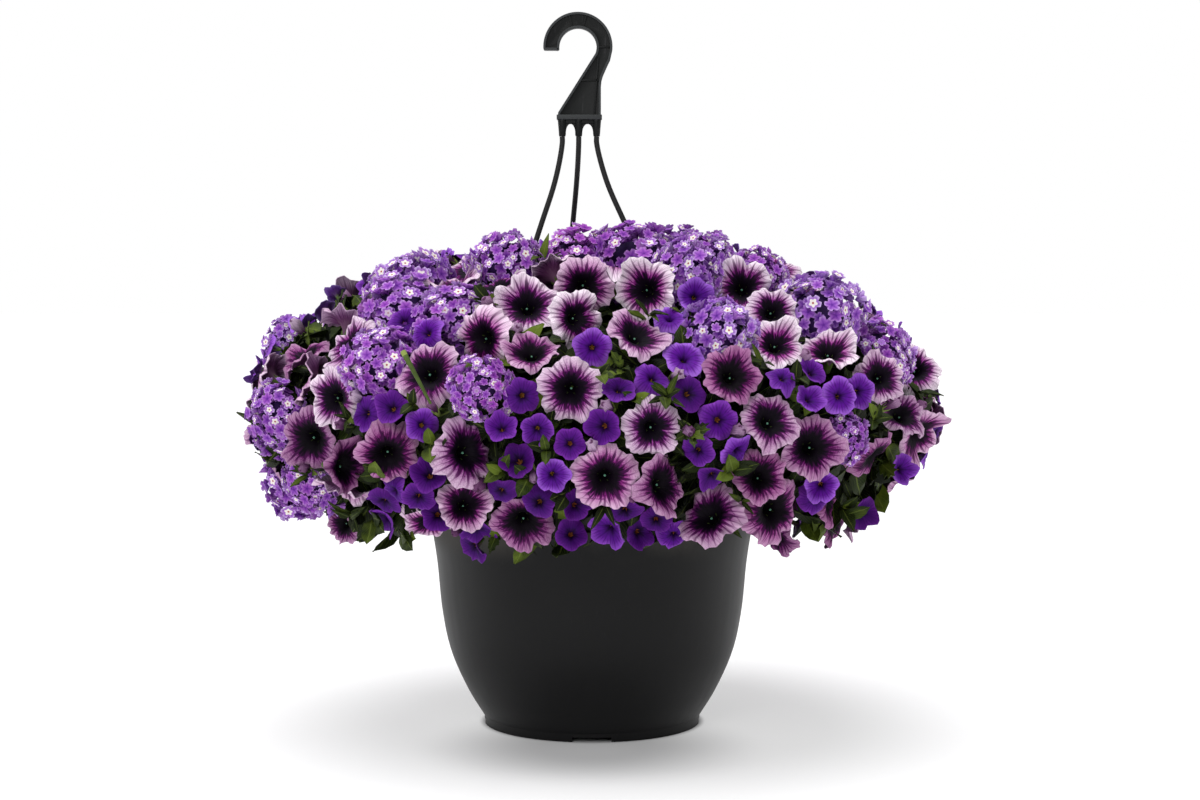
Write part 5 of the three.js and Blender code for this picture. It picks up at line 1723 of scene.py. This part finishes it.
leaves = [[] for _ in range(6)]
for k in range(CANDIDATES):
    at = onto_mound(spread(CANDIDATES, k) + rng.normal(0, 4, 3))
    rise = at[2] - MOUND_MIDDLE
    height = rise / reach_of(rise)
    level = math.sqrt(max(0, 1 - height**2))
    if rng.uniform() > math.hypot(level * 0.5, height) * 0.9 + 0.1:
        continue
    depth = rng.uniform(*LEAF_DEPTH)
    shape = rng.choice(4, p=SHAPE_SHARES) if height > HANG_BELOW else rng.integers(2)
    length = rng.uniform(*LEAF_LENGTH)
    hang = HANG if height < HANG_BELOW else SLIGHT_HANG
    place = grow_leaf(at, depth, length, rng.uniform(*LEAF_LEAN), hang)
    if place is None:
        continue
    tip = place @ Vector((0, 1, 0))
    if tip.z < POT_TOP and math.hypot(tip.x, tip.y) < POT_ROOM:
        continue
    # Painted shade: a leaf that starts deeper is darker, and one higher up a little lighter.
    fresh_and_lit = FRESH_ABOVE - (depth - LEAF_DEPTH[0]) / SHADE_DEPTH + 0.15 * height + rng.normal(0, 0.2)
    leaves[sector_of(at)].append((place, shape, some(0, 1), within(fresh_and_lit)))
print("leaves:", [len(group) for group in leaves])

# %% [markdown]
# ## Fresh shoots
#
# Here and there a tuft of bright young leaves pushes out between the blooms. Each row below is one tuft
# of the photograph: its pixel, the length of its leaves in millimetres, how many there are, and which of
# the four outlines they have. The leaves of a tuft fan out from one point.

# %% Fresh shoots between the blooms
SHOOTS = [
    (532, 268, 30, 5, 2), (486, 286, 20, 2, 1), (473, 292, 22, 2, 2), (651, 284, 24, 6, 3),
    (654, 309, 28, 6, 2), (660, 385, 26, 5, 2), (684, 388, 20, 3, 0), (776, 347, 24, 4, 2),
    (814, 374, 22, 4, 0), (876, 318, 26, 4, 2), (935, 388, 24, 4, 2), (884, 420, 22, 4, 0),
    (387, 481, 26, 3, 1), (521, 484, 27, 2, 1), (568, 506, 28, 2, 1), (604, 491, 27, 3, 2),
    (342, 507, 30, 5, 2), (391, 528, 30, 3, 1), (368, 530, 30, 3, 1), (479, 536, 24, 4, 3),
    (700, 442, 22, 6, 3), (562, 441, 20, 3, 0), (711, 512, 26, 3, 2), (850, 518, 28, 4, 0),
    (745, 512, 24, 4, 2), (345, 412, 22, 5, 2), (404, 400, 20, 3, 0), (300, 482, 26, 4, 2),
    (600, 372, 22, 4, 0), (455, 500, 22, 4, 3), (640, 372, 20, 4, 3), (505, 478, 24, 4, 0),
    (760, 500, 26, 4, 0), (440, 492, 26, 3, 1), (655, 420, 18, 3, 0),
]
grown = 0
for column, row, length, count, shape in SHOOTS:
    at = near_free(column, row)
    if at is None:
        continue
    grown += 1
    normal = mound_normal(at)
    towards = unit(normal * 0.6 + np.array([0, -0.5, 0.35]))
    for k in range(count):
        spoke = unit(np.cross(towards, unit(rng.normal(size=3))))
        along = unit(towards + spoke * rng.uniform(0.5, 1.1))
        size = length * rng.uniform(0.62, 0.92)
        place = leaf_place(at - normal * rng.uniform(7, 16), along, towards, size)
        leaves[sector_of(at)].append((place, shape, some(0, 1), some(0.25, 0.85)))
print("shoots:", grown, "of", len(SHOOTS))

# %% [markdown]
# ## The leafy sectors
#
# The solids hold the leafy mass in six sectors, each with a core of stems. The core stays, painted a
# near-black green as painted shade that closes the view between the leaves, and the finer leaves are
# gathered round it. One sector also holds a cut twig, which shows at the upper left of the photograph with
# its pale end.

# %% Fill the six leafy sectors
TWIG = [((432, 404), 4, 0.0011), ((421, 380), 16, 0.0016), ((409, 355), 26, 0.0023)]
CUT_SHARE, CUT_RADIUS = 0.18, 0.0025
twig = [((seen_at(*pixel) + np.array([0, -out, 0])) / 1000, radius) for pixel, out, radius in TWIG]


def add_twig(bunch):
    """The twig, and the pale end where it was cut."""
    add_copy(bunch, rods("twig", [twig], 2), IN_PLACE, 0.5, 0.4, 2)
    (below, _), (top, radius) = twig[1:]
    end = rods("cut end", [[(top, radius), (top + (top - below) * CUT_SHARE, CUT_RADIUS)]], 1)
    add_copy(bunch, end, IN_PLACE, 1.0, 1.0, 2)


for k, group in enumerate(leaves):
    node = "foliage_" + str(k + 1)
    core = bmesh.new()
    core.from_mesh(frame["nodes"][node].data)
    bmesh.ops.remove_doubles(core, verts=core.verts, dist=1e-6)
    bunch = bmesh.new()
    # The core takes the near-black green: a painted shade.
    add_copy(bunch, as_mesh(core, "core"), IN_PLACE, 0.5, 0.3, 1)
    for place, shape, tone, fresh_and_lit in group:
        add_copy(bunch, leaf_shapes[shape], place, tone, fresh_and_lit)
    if k == sector_of(seen_at(*TWIG[0][0])):
        add_twig(bunch)
    make_piece("leaves_" + str(k + 1), as_mesh(bunch, "leaves"), [node],
               [leaf_green, core_shade_green, stem_green], 60)
